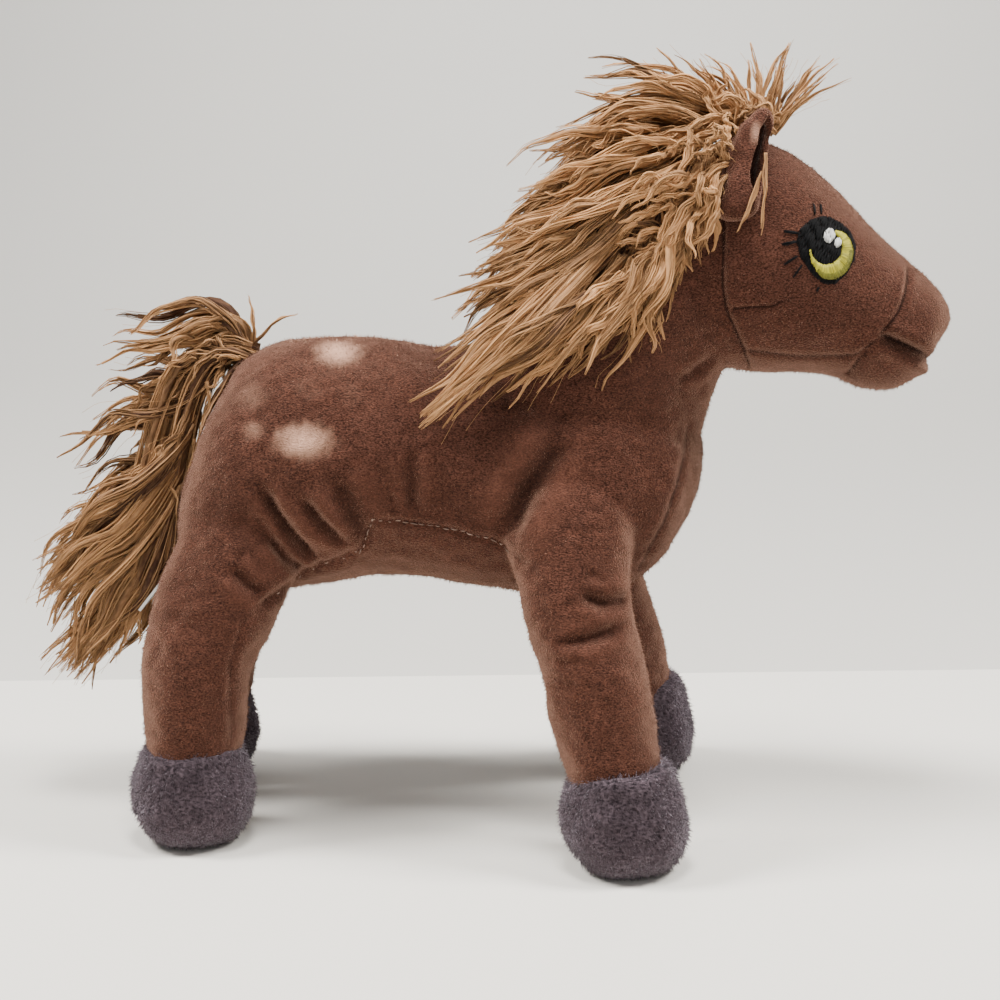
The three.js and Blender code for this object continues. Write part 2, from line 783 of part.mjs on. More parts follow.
// Materials
const brownPlush = { color: 0x7d4a38, roughness: 0.95, metalness: 0 };
const greyPlush = { color: 0x645a66, roughness: 0.97, metalness: 0 };
const tanYarn = { color: 0xb5864f, roughness: 0.8, metalness: 0 };
const stuffingWhite = { color: 0xf0eee8, roughness: 1, metalness: 0 };
const liningBrown = { color: 0x5d3427, roughness: 0.95, metalness: 0 };
const blackThread = { color: 0x101114, roughness: 0.5, metalness: 0 };
const greenThread = { color: 0xc5bf3a, roughness: 0.45, metalness: 0 };
const whiteThread = { color: 0xf2f3f0, roughness: 0.45, metalness: 0 };
const labelTape = { color: 0xd8d6cc, roughness: 0.7, metalness: 0 };

// The horse is a group, with a group for each part that bends, placed at its joint.
const horse = new THREE.Group();
function bendingPart(carrier, carrierPivot, pivot) {
  const part = new THREE.Group();
  part.position.copy(pivot).sub(carrierPivot);
  carrier.add(part);
  return { part, pivot };
}
const body = { part: horse, pivot: point(0, 0, 0) };
const head = bendingPart(horse, body.pivot, joints.head.pivot);

function addPiece({ part, pivot }, name, solid, look) {
  const mesh = solid.getMesh();
  const geometry = new THREE.BufferGeometry();
  const position = new Float32Array(mesh.numVert * 3);
  for (let i = 0; i < mesh.numVert; i++) {
    position.set(mesh.vertProperties.subarray(i * mesh.numProp, i * mesh.numProp + 3), i * 3);
  }
  geometry.setAttribute("position", new THREE.BufferAttribute(position, 3));
  geometry.setIndex(new THREE.BufferAttribute(new Uint32Array(mesh.triVerts), 1));
  geometry.translate(-pivot.x, -pivot.y, -pivot.z);
  const piece = new THREE.Mesh(geometry, new THREE.MeshStandardMaterial(look));
  piece.name = name;
  part.add(piece);
}

addPiece(body, "torso_cover", torsoCover, brownPlush);
addPiece(body, "neck_cover", neckCover, brownPlush);
addPiece(body, "body_stuffing", bodyStuffing, stuffingWhite);
addPiece(body, "mane", mane, tanYarn);
addPiece(body, "sewn_label", label, labelTape);
addPiece(head, "head_cover", clearOfNeck(cheeks), brownPlush);
addPiece(head, "nose_cover", largestBody(noseZone), brownPlush);
addPiece(head, "chin_cover", largestBody(chinZone), brownPlush);
addPiece(head, "head_stuffing", headStuffing, stuffingWhite);
addPiece(head, "forelock", forelock, tanYarn);
for (const [place, side] of [["right", -1], ["left", 1]]) {
  const eye = buildEye(side);
  addPiece(head, `${place}_eye_surround`, eye.surround, blackThread);
  addPiece(head, `${place}_eye_iris`, eye.iris, greenThread);
  addPiece(head, `${place}_eye_large_highlight`, eye.largeHighlight, whiteThread);
  addPiece(head, `${place}_eye_small_highlight`, eye.smallHighlight, whiteThread);
  const { joint, cover, lining } = ears[place];
  const ear = bendingPart(head.part, head.pivot, joint.pivot);
  addPiece(ear, `${place}_ear`, cover, brownPlush);
  addPiece(ear, `${place}_ear_lining`, lining, liningBrown);
}
for (const [place, { joint, cover, stuffing, hoof }] of Object.entries(legs)) {
  const leg = bendingPart(horse, body.pivot, joint.pivot);
  addPiece(leg, `${place}_leg_cover`, cover, brownPlush);
  addPiece(leg, `${place}_leg_stuffing`, stuffing, stuffingWhite);
  addPiece(leg, `${place}_hoof`, hoof, greyPlush);
}
addPiece(bendingPart(horse, body.pivot, tailRoot), "tail", tail, tanYarn);

// The origin is on the floor below the middle of the whole horse.
const bounds = new THREE.Box3().setFromObject(horse);
horse.position.set(-(bounds.min.x + bounds.max.x) / 2, 0, -bounds.min.z);

export default horse;
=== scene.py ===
"""A plush toy horse on a white table: soft brown plush over stuffing, grey plush feet,
a tan yarn mane, forelock and tail, and embroidered eyes. Sizes and places are in
millimetres, but for the camera, the table, the lights and the neck's bend, in metres."""
import math

import bpy
import numpy as np
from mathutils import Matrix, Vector, bvhtree


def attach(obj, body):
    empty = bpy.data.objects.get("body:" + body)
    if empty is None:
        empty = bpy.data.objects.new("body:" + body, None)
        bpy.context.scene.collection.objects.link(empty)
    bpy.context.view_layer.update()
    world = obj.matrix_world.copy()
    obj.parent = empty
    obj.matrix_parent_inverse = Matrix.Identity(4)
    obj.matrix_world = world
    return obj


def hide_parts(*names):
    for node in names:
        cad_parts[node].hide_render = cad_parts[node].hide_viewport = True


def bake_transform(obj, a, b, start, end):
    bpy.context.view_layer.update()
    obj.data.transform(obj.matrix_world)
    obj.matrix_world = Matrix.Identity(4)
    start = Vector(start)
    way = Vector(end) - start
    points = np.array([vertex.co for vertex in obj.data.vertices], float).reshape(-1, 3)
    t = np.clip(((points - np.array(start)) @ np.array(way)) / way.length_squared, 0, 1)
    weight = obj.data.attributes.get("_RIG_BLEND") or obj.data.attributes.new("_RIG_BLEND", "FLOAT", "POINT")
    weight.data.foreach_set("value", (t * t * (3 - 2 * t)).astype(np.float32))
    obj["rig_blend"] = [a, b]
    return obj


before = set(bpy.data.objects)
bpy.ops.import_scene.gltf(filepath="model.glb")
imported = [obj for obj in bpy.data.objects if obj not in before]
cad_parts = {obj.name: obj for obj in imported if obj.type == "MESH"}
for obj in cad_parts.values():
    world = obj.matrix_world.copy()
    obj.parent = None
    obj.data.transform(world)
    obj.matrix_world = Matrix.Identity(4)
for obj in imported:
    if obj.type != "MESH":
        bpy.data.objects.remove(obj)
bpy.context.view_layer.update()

# Photograph: the camera stands a little above the horse's back and a little ahead of its
# middle, far enough away that the legs hardly splay.
horse_middle, camera_distance, camera_lens = Vector((0.0043, 0, 0.0958)), 0.57, 69.6
camera_turn, camera_rise = math.radians(4), math.radians(11)
away = Vector((
    math.sin(camera_turn) * math.cos(camera_rise),
    -math.cos(camera_turn) * math.cos(camera_rise),
    math.sin(camera_rise),
))
bpy.ops.object.camera_add(location=horse_middle + away * camera_distance)
camera = bpy.context.object
camera.rotation_euler = away.to_track_quat("Z", "Y").to_euler()
camera.data.sensor_width = 36
camera.data.lens = camera_lens
camera.data.dof.use_dof = False
bpy.context.scene.camera = camera

# Table and backdrop: a matt white table top that ends a hand's breadth behind the horse, and
# a pale grey sweep that lies behind it and curves up far away, so no side is hidden.
def new_finish(name, sockets):
    """A material with its even values set on the sockets of its shader."""
    finish = bpy.data.materials.new(name)
    finish.use_nodes = True
    shader = finish.node_tree.nodes["Principled BSDF"]
    for socket, value in sockets.items():
        shader.inputs[socket].default_value = value
    return finish


def plain_paint(name, colour, roughness):
    sockets = {"Base Color": (*colour, 1), "Roughness": roughness, "Specular IOR Level": 0.2}
    return new_finish(name, sockets)


def long_sheet(name, profile, turned, finish):
    """A wide sheet drawn out along a profile of y, z. The near or the far edge of its first
    part is turned to lie along the table's far edge."""
    bpy.ops.object.select_all(action="DESELECT")
    bpy.ops.mesh.primitive_plane_add(size=1, location=(0, 0, 0))
    sheet = bpy.context.object
    sheet.name = name
    bpy.ops.object.mode_set(mode="EDIT")
    bpy.ops.mesh.select_all(action="SELECT")
    bpy.ops.transform.resize(value=(sheet_width, 1, 1))
    bpy.ops.mesh.select_mode(type="EDGE")
    bpy.ops.mesh.select_all(action="DESELECT")
    bpy.ops.object.mode_set(mode="OBJECT")
    ends = read(sheet.data.vertices, "co")
    far_edge = [all(ends[v][1] > 0 for v in edge.vertices) for edge in sheet.data.edges]
    sheet.data.edges.foreach_set("select", far_edge)
    bpy.ops.object.mode_set(mode="EDIT")
    for (y, z), (next_y, next_z) in zip(profile[1:], profile[2:]):
        bpy.ops.mesh.extrude_region_move(
            TRANSFORM_OT_translate={"value": (0, next_y - y, next_z - z)}
        )
    bpy.ops.object.mode_set(mode="OBJECT")
    places = read(sheet.data.vertices, "co")
    near, far = places[:, 1] < -0.4, np.abs(places[:, 1] - 0.5) < 0.01
    places[:, 1] += profile[1][0] - 0.5
    places[near, 1] = profile[0][0]
    line = near if turned == "near" else far
    places[line, 1] = table_edge + table_slope * places[line, 0]
    sheet.data.vertices.foreach_set("co", places.astype(np.float32).ravel())
    sheet.data.update()
    sheet.data.shade_smooth()
    sheet.data.materials.append(finish)


def read(items, field, width=3):
    values = np.empty(len(items) * width, np.float32)
    items.foreach_get(field, values)
    return values.reshape(-1, width).astype(float) if width > 1 else values.astype(float)


# metres; the slope is how much the table's far edge turns away for each metre to the right
sheet_width, table_front, table_edge, table_slope = 6, -3, 0.146, 0.112
rise_start, rise_radius, sweep_top = 1, 1.2, 3
sweep_profile = [(table_edge, 0), (rise_start, 0)] + [
    (rise_start + rise_radius * math.sin(math.radians(a)), rise_radius * (1 - math.cos(math.radians(a))))
    for a in range(10, 91, 10)
] + [(rise_start + rise_radius, sweep_top)]
white_table = plain_paint("white_table", (0.81, 0.785, 0.735), 0.6)
pale_grey = plain_paint("pale_grey", (0.595, 0.58, 0.55), 0.9)
long_sheet("table_top", [(table_front, 0), (table_edge, 0)], "far", white_table)
long_sheet("sweep", sweep_profile, "near", pale_grey)

# Room light: three ceiling panels, one over the horse and one to each side, a weak window behind
# the camera, a lamp for the backdrop and pale light from the rest of the room.
def soft_light(name, place, aim, size, power, tint):
    """A square panel of light at a place, turned to its aim; metres and watts."""
    bpy.ops.object.light_add(type="AREA", location=place)
    light = bpy.context.object
    light.name = name
    light.data.shape = "SQUARE"
    light.data.size = size
    light.data.energy = power
    light.data.color = tint
    way = Vector(place) - Vector(aim)
    light.rotation_euler = way.to_track_quat("Z", "Y").to_euler()


ceiling_tint = (1, 0.975, 0.935)
soft_light("ceiling_light_left", (-0.6, -0.12, 0.8), (-0.02, 0, 0.08), 0.24, 14, ceiling_tint)
soft_light("ceiling_light_right", (0.58, -0.04, 0.8), (0.02, 0, 0.08), 0.24, 13, ceiling_tint)
soft_light("ceiling_light_middle", (0, -0.22, 1), (0, 0, 0.1), 0.26, 10, ceiling_tint)
soft_light("window_behind_camera", (0.2, -1.7, 0.9), (0, 0, 0.1), 1.2, 6, (0.97, 0.985, 1))
soft_light("wall_light", (0, 1.1, 1.3), (0, 2.2, 0.35), 1.2, 36, (1, 0.99, 0.97))
room = bpy.data.worlds.new("room")
room.use_nodes = True
room.node_tree.nodes["Background"].inputs["Color"].default_value = (1, 0.99, 0.975, 1)
room.node_tree.nodes["Background"].inputs["Strength"].default_value = 0.19
bpy.context.scene.world = room

# Body: torso, neck and four legs are one skin of short-pile brown plush, cut and sewn from
# panels and filled. The skin is grown as tubes, joined and eased like a filled cover, and
# its seams and folds are then pressed in.
def select_only(*pieces):
    bpy.ops.object.select_all(action="DESELECT")
    for piece in pieces:
        piece.select_set(True)
    bpy.context.view_layer.objects.active = pieces[0]


def edit_faces(piece, wanted):
    """Opens a piece in edit mode with only the wanted faces selected."""
    select_only(piece)
    bpy.ops.object.mode_set(mode="EDIT")
    bpy.ops.mesh.select_mode(type="FACE")
    bpy.ops.mesh.select_all(action="DESELECT")
    bpy.ops.object.mode_set(mode="OBJECT")
    piece.data.polygons.foreach_set("select", wanted)
    bpy.ops.object.mode_set(mode="EDIT")


def apply_modifier(piece, kind, **settings):
    select_only(piece)
    modifier = piece.modifiers.new(kind.lower(), kind)
    for setting, value in settings.items():
        setattr(modifier, setting, value)
    bpy.ops.object.modifier_apply(modifier=modifier.name)


def grow_tube(name, axis, rings, sides=32):
    """A closed tube grown ring by ring: middle x, y, z, then its two half sizes."""
    rings = [[v / 1000 for v in ring] for ring in rings]
    middle = Vector(rings[0][:3])
    turn = (0, math.pi / 2, 0) if axis == "X" else (0, 0, 0)
    bpy.ops.object.select_all(action="DESELECT")
    bpy.ops.mesh.primitive_circle_add(
        vertices=sides, radius=1, fill_type="NGON", location=middle, rotation=turn
    )
    tube = bpy.context.object
    tube.name = name
    bpy.ops.object.mode_set(mode="EDIT")
    bpy.ops.mesh.select_all(action="SELECT")
    grown = (1, 1)
    for ring in rings:
        step = Vector(ring[:3]) - middle
        middle, halves = Vector(ring[:3]), ring[3:]
        ratio = (halves[0] / grown[0], halves[1] / grown[1])
        grown = halves
        if step.length > 0:
            bpy.ops.mesh.extrude_region_move(TRANSFORM_OT_translate={"value": step})
        scale = (1, ratio[1], ratio[0]) if axis == "X" else (ratio[0], ratio[1], 1)
        bpy.ops.transform.resize(value=scale, center_override=middle)
    bpy.ops.mesh.select_all(action="SELECT")
    bpy.ops.mesh.normals_make_consistent(inside=False)
    bpy.ops.object.mode_set(mode="OBJECT")
    bpy.ops.object.transform_apply()
    apply_modifier(tube, "SUBSURF", levels=2, render_levels=2)
    return tube


def fill_out(tubes, name, voxel, easing):
    """Joins tubes into one skin and eases it as stuffing does."""
    select_only(*tubes)
    if len(tubes) > 1:
        bpy.ops.object.join()
    skin = bpy.context.object
    skin.name = skin.data.name = name
    skin.data.remesh_voxel_size = voxel / 1000
    bpy.ops.object.voxel_remesh()
    apply_modifier(skin, "SMOOTH", factor=0.5, iterations=easing)
    skin.data.shade_smooth()
    return skin


def points_of(piece):
    """A piece's points in millimetres."""
    return read(piece.data.vertices, "co") * 1000


def set_points(piece, points):
    piece.data.vertices.foreach_set("co", (points / 1000).astype(np.float32).ravel())
    piece.data.update()


def normals_of(piece):
    return read(piece.data.vertex_normals, "vector")


def paint_points(piece, name, values):
    """Keeps a value for each point under a name that the materials read."""
    layers = piece.data.attributes
    layer = layers.get(name) or layers.new(name, "FLOAT", "POINT")
    layer.data.foreach_set("value", values.astype(np.float32))


def smooth_step(low, high, values):
    share = np.clip((values - low) / (high - low), 0, 1)
    return share * share * (3 - 2 * share)


def to_line(flat, line):
    """Distance of each side-view point from a line, how far along the line it is, and on
    which side of the line it lies."""
    line = np.array(line, float)
    lengths = np.linalg.norm(np.diff(line, axis=0), axis=1)
    total, before = lengths.sum(), np.concatenate([[0], np.cumsum(lengths)])
    best, share, hand = np.full(len(flat), 1e9), np.zeros(len(flat)), np.ones(len(flat))
    for start, end, length, passed in zip(line, line[1:], lengths, before):
        t = np.clip((flat - start) @ (end - start) / length**2, 0, 1)
        from_start = flat - start
        away_from = np.linalg.norm(from_start - t[:, None] * (end - start), axis=1)
        beside = from_start[:, 0] * (end - start)[1] - from_start[:, 1] * (end - start)[0]
        nearer = away_from < best
        best[nearer] = away_from[nearer]
        share[nearer] = ((passed + t * length) / total)[nearer]
        hand[nearer] = np.sign(beside[nearer])
    return best, share, hand


def press_line(points, outward, line, side, depth, width, ends=0.2):
    """Presses a groove along a side-view line on one side, or right round the muzzle, and
    swells its two lips. Gives the signed distance from the line, how far it counts, and how
    much of each point lies in the groove and on its lips."""
    away_from, share, hand = to_line(points[:, [0, 2]], line)
    if side == "round":
        facing = smooth_step(106, 113, points[:, 0])
    else:
        facing = smooth_step(0.05, 0.4, outward[:, 1] * side)
    fade = facing * np.clip(np.minimum(share, 1 - share) / ends, 0, 1)
    groove = np.exp(-((away_from / width) ** 2)) * fade
    lips = np.exp(-(((away_from - 2.3 * width) / (1.3 * width)) ** 2)) * fade
    lip_height = 0.35
    points += outward * ((lip_height * lips - groove) * depth)[:, None]
    return away_from * hand, smooth_step(3, 1.5, away_from) * fade, groove, lips


def lumps(points, size, seed):
    """Soft random lumps from about -1 to 1: a sum of waves in random directions."""
    chance, count = np.random.default_rng(seed), 14
    ways = chance.normal(size=(count, 3))
    ways *= (2 * math.pi / size / np.linalg.norm(ways, axis=1) * chance.uniform(0.4, 1.1, count))[:, None]
    waves = np.sin(points @ ways.T + chance.uniform(0, 2 * math.pi, count))
    return waves.sum(axis=1) / math.sqrt(count)


# rings of the tubes: middle x, y, z, half height or depth, half width
torso_rings = [
    (-90.8, 0, 85.1, 6, 10), (-86.8, 0, 89, 16, 20), (-81.8, 0, 95, 24, 27),
    (-73.8, 0, 102, 33, 32), (-62.9, 0, 105.5, 37.5, 35), (-46.8, 0, 107.7, 36.7, 35.5),
    (-28.8, 0, 108.7, 34.2, 33), (-8.8, 0, 106.5, 34, 31.5), (11.2, 0, 104, 36, 32),
    (29.2, 0, 103.5, 36, 33), (43.3, 0, 103, 32, 31), (53.2, 0, 103, 23, 26),
    (60.2, 0, 106.5, 13, 17), (64.2, 0, 111.3, 4.3, 7),
]
neck_rings = [
    (22, 0, 100, 38, 24), (24, 0, 112, 38.5, 26), (27.5, 0, 124, 37.5, 26.5),
    (33, 0, 136, 36, 26), (42, 0, 148, 32, 24.5), (50, 0, 158, 30.5, 22.5),
    (56, 0, 168, 29, 21), (61, 0, 178, 24, 20), (64, 0, 188, 17.5, 17), (66, 0, 196, 11, 10),
]
head_rings = [
    (62, 0, 167.4, 30, 19.5), (68.6, 0, 167.4, 31.6, 21.2), (75.1, 0, 167.6, 33.2, 24),
    (83.1, 0, 166.6, 32.2, 25.5), (91.1, 0, 164.2, 29.8, 25), (99.1, 0, 160.4, 26.6, 23),
    (107.1, 0, 155.1, 23.6, 20.5), (115.1, 0, 150.7, 20.2, 18.5), (121.1, 0, 148.7, 16.8, 17.5),
    (126.5, 0, 148.2, 13.2, 15), (130.1, 0, 148.5, 9, 11), (132.8, 0, 149.5, 3.5, 5.5),
]
# forward and inward from the middle of the foot, height, half depth, half width
rear_leg_rings = [
    (0, 0, 12, 12, 12), (0.2, 0, 19.6, 13.5, 13), (0.4, 0, 30.9, 14.6, 14.4),
    (0.8, 1.5, 46.7, 15.2, 15), (4.3, 4, 60.3, 17.2, 16), (8, 6, 69.9, 18.8, 17),
    (12, 9, 81.6, 19.5, 17), (16, 12, 93.3, 17.5, 15), (18, 15, 103, 10, 9),
]
front_leg_rings = [
    (-2, 1, 9, 12, 12), (-3.7, 1.3, 16.6, 13, 13), (-6.1, 2.6, 26.3, 14, 14.2),
    (-9.3, 4.8, 43.9, 14.7, 14.8), (-14.4, 8.2, 61.4, 15.2, 15), (-17.8, 11.7, 73.1, 15.4, 15),
    (-19.1, 15.6, 83.9, 17.6, 15.2), (-20.2, 19.1, 95.6, 19.5, 14), (-20.2, 22.5, 107.3, 17, 12),
    (-20.2, 26, 117, 10, 7),
]
# the middle of each foot, x and y
feet = {
    "right_rear": (-82.8, -30), "left_rear": (-93.8, 30),
    "right_front": (45.3, -44), "left_front": (49.3, 44),
}


def leg_rings(place):
    """The rings of one leg; a left leg is drawn in to the same hip or shoulder as the right."""
    rings = rear_leg_rings if "rear" in place else front_leg_rings
    x, y = feet[place]
    right_x = feet[place.replace("left", "right")][0]
    top = rings[-1][2]
    return [
        (right_x + ahead + (x - right_x) * (1 - min(1, z / top) ** 1.5),
         y - math.copysign(inward, y), z, deep, wide)
        for ahead, inward, z, deep, wide in rings
    ]


tubes = [
    grow_tube("torso", "X", torso_rings),
    grow_tube("neck", "Z", neck_rings),
    grow_tube("head", "X", head_rings),
]
tubes += [grow_tube(place, "Z", leg_rings(place)) for place in feet]
skin = fill_out(tubes, "skin", voxel=0.9, easing=20)

# seams, as side-view lines x, z: depth, half width, and the sides that have them
right, left = -1, 1
neck_seam = [(66, 204), (67.2, 190), (67.2, 171), (67.2, 160), (68.5, 154), (72.5, 145), (77, 134)]
seams = {
    "neck": (neck_seam, 0.8, 0.9, (right, left)),
    "cheek_dart": ([(67.5, 154.3), (75, 155), (81, 155.4), (84, 157.4)], 0.4, 0.7, (right, left)),
    "jaw": (
        [(72, 145), (75, 142.4), (81, 141.5), (89, 141), (100, 140.8), (105, 141.6), (111, 146.8)],
        0.3, 0.8, (right, left),
    ),
    "nose": ([(119.5, 166), (119, 162), (118, 158.5), (116, 153.5), (113, 149.8), (111, 147.4)],
             0.7, 0.9, (right, left)),
    "chin": ([(107.5, 143.5), (105.6, 139.4), (103.3, 135)], 0.9, 1, (right, left)),
    "belly": ([(-29.4, 95.7), (-22, 95), (-13, 94), (-5, 92.4), (3.6, 90.2), (9, 87)],
              0.45, 0.9, (right, left)),
    "flank": ([(-29.4, 95.7), (-31.5, 90), (-34, 85)], 0.6, 0.9, (right, left)),
    "thigh": ([(-35, 85.5), (-39, 83), (-46, 80), (-53, 76), (-61, 71)], 1.2, 1.4, (right, left)),
    "chest": ([(60, 122), (58, 115), (56, 107), (53, 97), (46, 80), (45, 77)], 0.35, 0.9, (right, left)),
    "rear_leg": ([(-65, 68), (-66.5, 64), (-69, 56), (-69.8, 45), (-70, 31)], 0.3, 0.8, (right,)),
}
mouth_line = [(110.5, 147.6), (114, 146), (118.5, 143.8), (123, 141.6), (129.8, 138.4)]
# soft folds of the filled cover: line, depth, half width
folds = {
    "haunch_long": ([(-61, 106), (-56, 97), (-51.5, 90), (-45.5, 81)], 2.8, 1.6),
    "haunch_front": ([(-49, 103), (-43.5, 95), (-37, 87)], 2.5, 1.6),
    "haunch_hollow": ([(-40, 109), (-35, 98), (-31.5, 87)], 1.6, 3),
    "haunch_short": ([(-59, 92), (-54, 84), (-49.5, 78)], 1.8, 1.4),
    "haunch_low": ([(-69, 83), (-64, 78), (-59, 74.5)], 1.6, 1.7),
    "haunch_top": ([(-62, 97), (-58, 91)], 0.8, 1.6),
    "barrel": ([(-18, 117), (-18.3, 107), (-18, 96)], 1.3, 1.8),
    "barrel_short": ([(-24, 104), (-23, 96.5)], 0.8, 1.2),
    "shoulder": ([(24, 120), (14, 105), (8, 91)], 2.2, 3),
    "shoulder_low": ([(9, 87), (18, 84)], 0.6, 2.2),
    "elbow_top": ([(29, 79), (36, 76), (44, 75.5)], 1.7, 1.8),
    "elbow_high": ([(31, 84), (37, 81.5)], 0.7, 1.4),
    "elbow": ([(22, 65), (31, 67), (43, 70)], 1.6, 1.7),
    "knee": ([(23, 59.5), (31, 62)], 0.9, 1.6),
    "shin": ([(24, 54), (29, 55)], 0.5, 1.5),
    "throat": ([(66, 141), (60, 136), (55, 134)], 0.8, 1.4),
    "withers": ([(26, 128), (20, 118), (14, 112)], 0.7, 3),
    "back_leg": ([(-92, 66), (-84, 68), (-76, 66)], 0.5, 2),
}
points, outward = points_of(skin), normals_of(skin)
seam_offset, seam_near = np.full(len(points), 9.0), np.zeros(len(points))


def keep_nearest(offset, near):
    """Each point keeps its distance from the seam that counts most there."""
    nearer = near > seam_near
    seam_offset[nearer] = offset[nearer]
    seam_near[nearer] = near[nearer]


faint_seams = ("belly", "flank", "thigh", "rear_leg")
for name, (line, depth, width, sides) in seams.items():
    for side in sides:
        offset, near, _, _ = press_line(points, outward, line, side, depth, width, ends=0.06)
        keep_nearest(offset, near * (0.3 if name in faint_seams else 1))
# the mouth groove runs right round the muzzle, with painted shade along it
offset, near, crease_shade, _ = press_line(points, outward, mouth_line, "round", 2.2, 1.5, ends=0.12)
keep_nearest(offset, near)
ridge = np.zeros(len(points))
for line, depth, width in folds.values():
    # the left side creases a little further back and less deeply
    moved = [(x - 2.5, z + 1) for x, z in line]
    for fold, side, share in ((line, right, 1), (moved, left, 0.8)):
        _, _, groove, lips = press_line(points, outward, fold, side, depth * share, width / share)
        # painted shade darkens the groove of each fold
        crease_shade = np.maximum(crease_shade, groove * min(0.75, depth / 3.2))
        # a painted highlight lightens the raised lips of each fold
        ridge = np.maximum(ridge, lips * min(1, depth / 2.4))
# the muzzle rounds off under the nose, and the chin hangs a little
lip_setback, chin_drop = 3, 1.5
below_nose = smooth_step(122, 132, points[:, 0]) * smooth_step(151, 141, points[:, 2])
points[:, 0] -= lip_setback * below_nose * smooth_step(134, 139, points[:, 2])
chin_bump = smooth_step(101, 108, points[:, 0]) * smooth_step(124, 115, points[:, 0])
points[:, 2] -= chin_drop * chin_bump * smooth_step(141, 134, points[:, 2])
# filling is lumpy, and less so in the head
uneven = 1 - 0.6 * smooth_step(64, 76, points[:, 0])
points += outward * (uneven * (0.5 * lumps(points, 17, 1) + 0.16 * lumps(points, 5, 2)))[:, None]
set_points(skin, points)
outward = normals_of(skin)
skin_surface = bvhtree.BVHTree.FromPolygons(
    [Vector(p) for p in points], [tuple(p.vertices) for p in skin.data.polygons]
)

# dapples, airbrushed on both sides of the rump: middle, half length, half height, strength
dapples = [
    ((-48, 36, 118.6), 7.8, 4.7, 1), ((-41, 13, 142), 6, 5, 0.95), ((-63.5, 33, 121), 3.6, 2.6, 0.5),
    ((-65, 28, 130), 5, 4, 0.22), ((-48, 32, 134), 5, 4, 0.2), ((-35, 33, 132), 4.5, 4, 0.18),
]
edge = 1 + 0.07 * lumps(points, 2.6, 3)
dapple = np.zeros(len(points))
for (x, y, z), long, high, strength in dapples:
    offset = (points * (1, 0, 1) + (0, 1, 0) * np.abs(points) - (x, y, z)) / (long, high * 1.6, high)
    dapple = np.maximum(dapple, strength * smooth_step(1.5, 0.1, np.linalg.norm(offset, axis=1) * edge))
painted = {
    "dapple": dapple, "seam_offset": np.clip(seam_offset, -9, 9), "seam_near": seam_near,
    "crease_shade": crease_shade, "ridge": ridge,
}
for name, values in painted.items():
    paint_points(skin, name, values)
rest = skin.data.attributes.new("rest_normal", "FLOAT_VECTOR", "POINT")
rest.data.foreach_set("vector", outward.astype(np.float32).ravel())


def node(tree, kind, **settings):
    made = tree.nodes.new(kind)
    for setting, value in settings.items():
        setattr(made, setting, value)
    return made


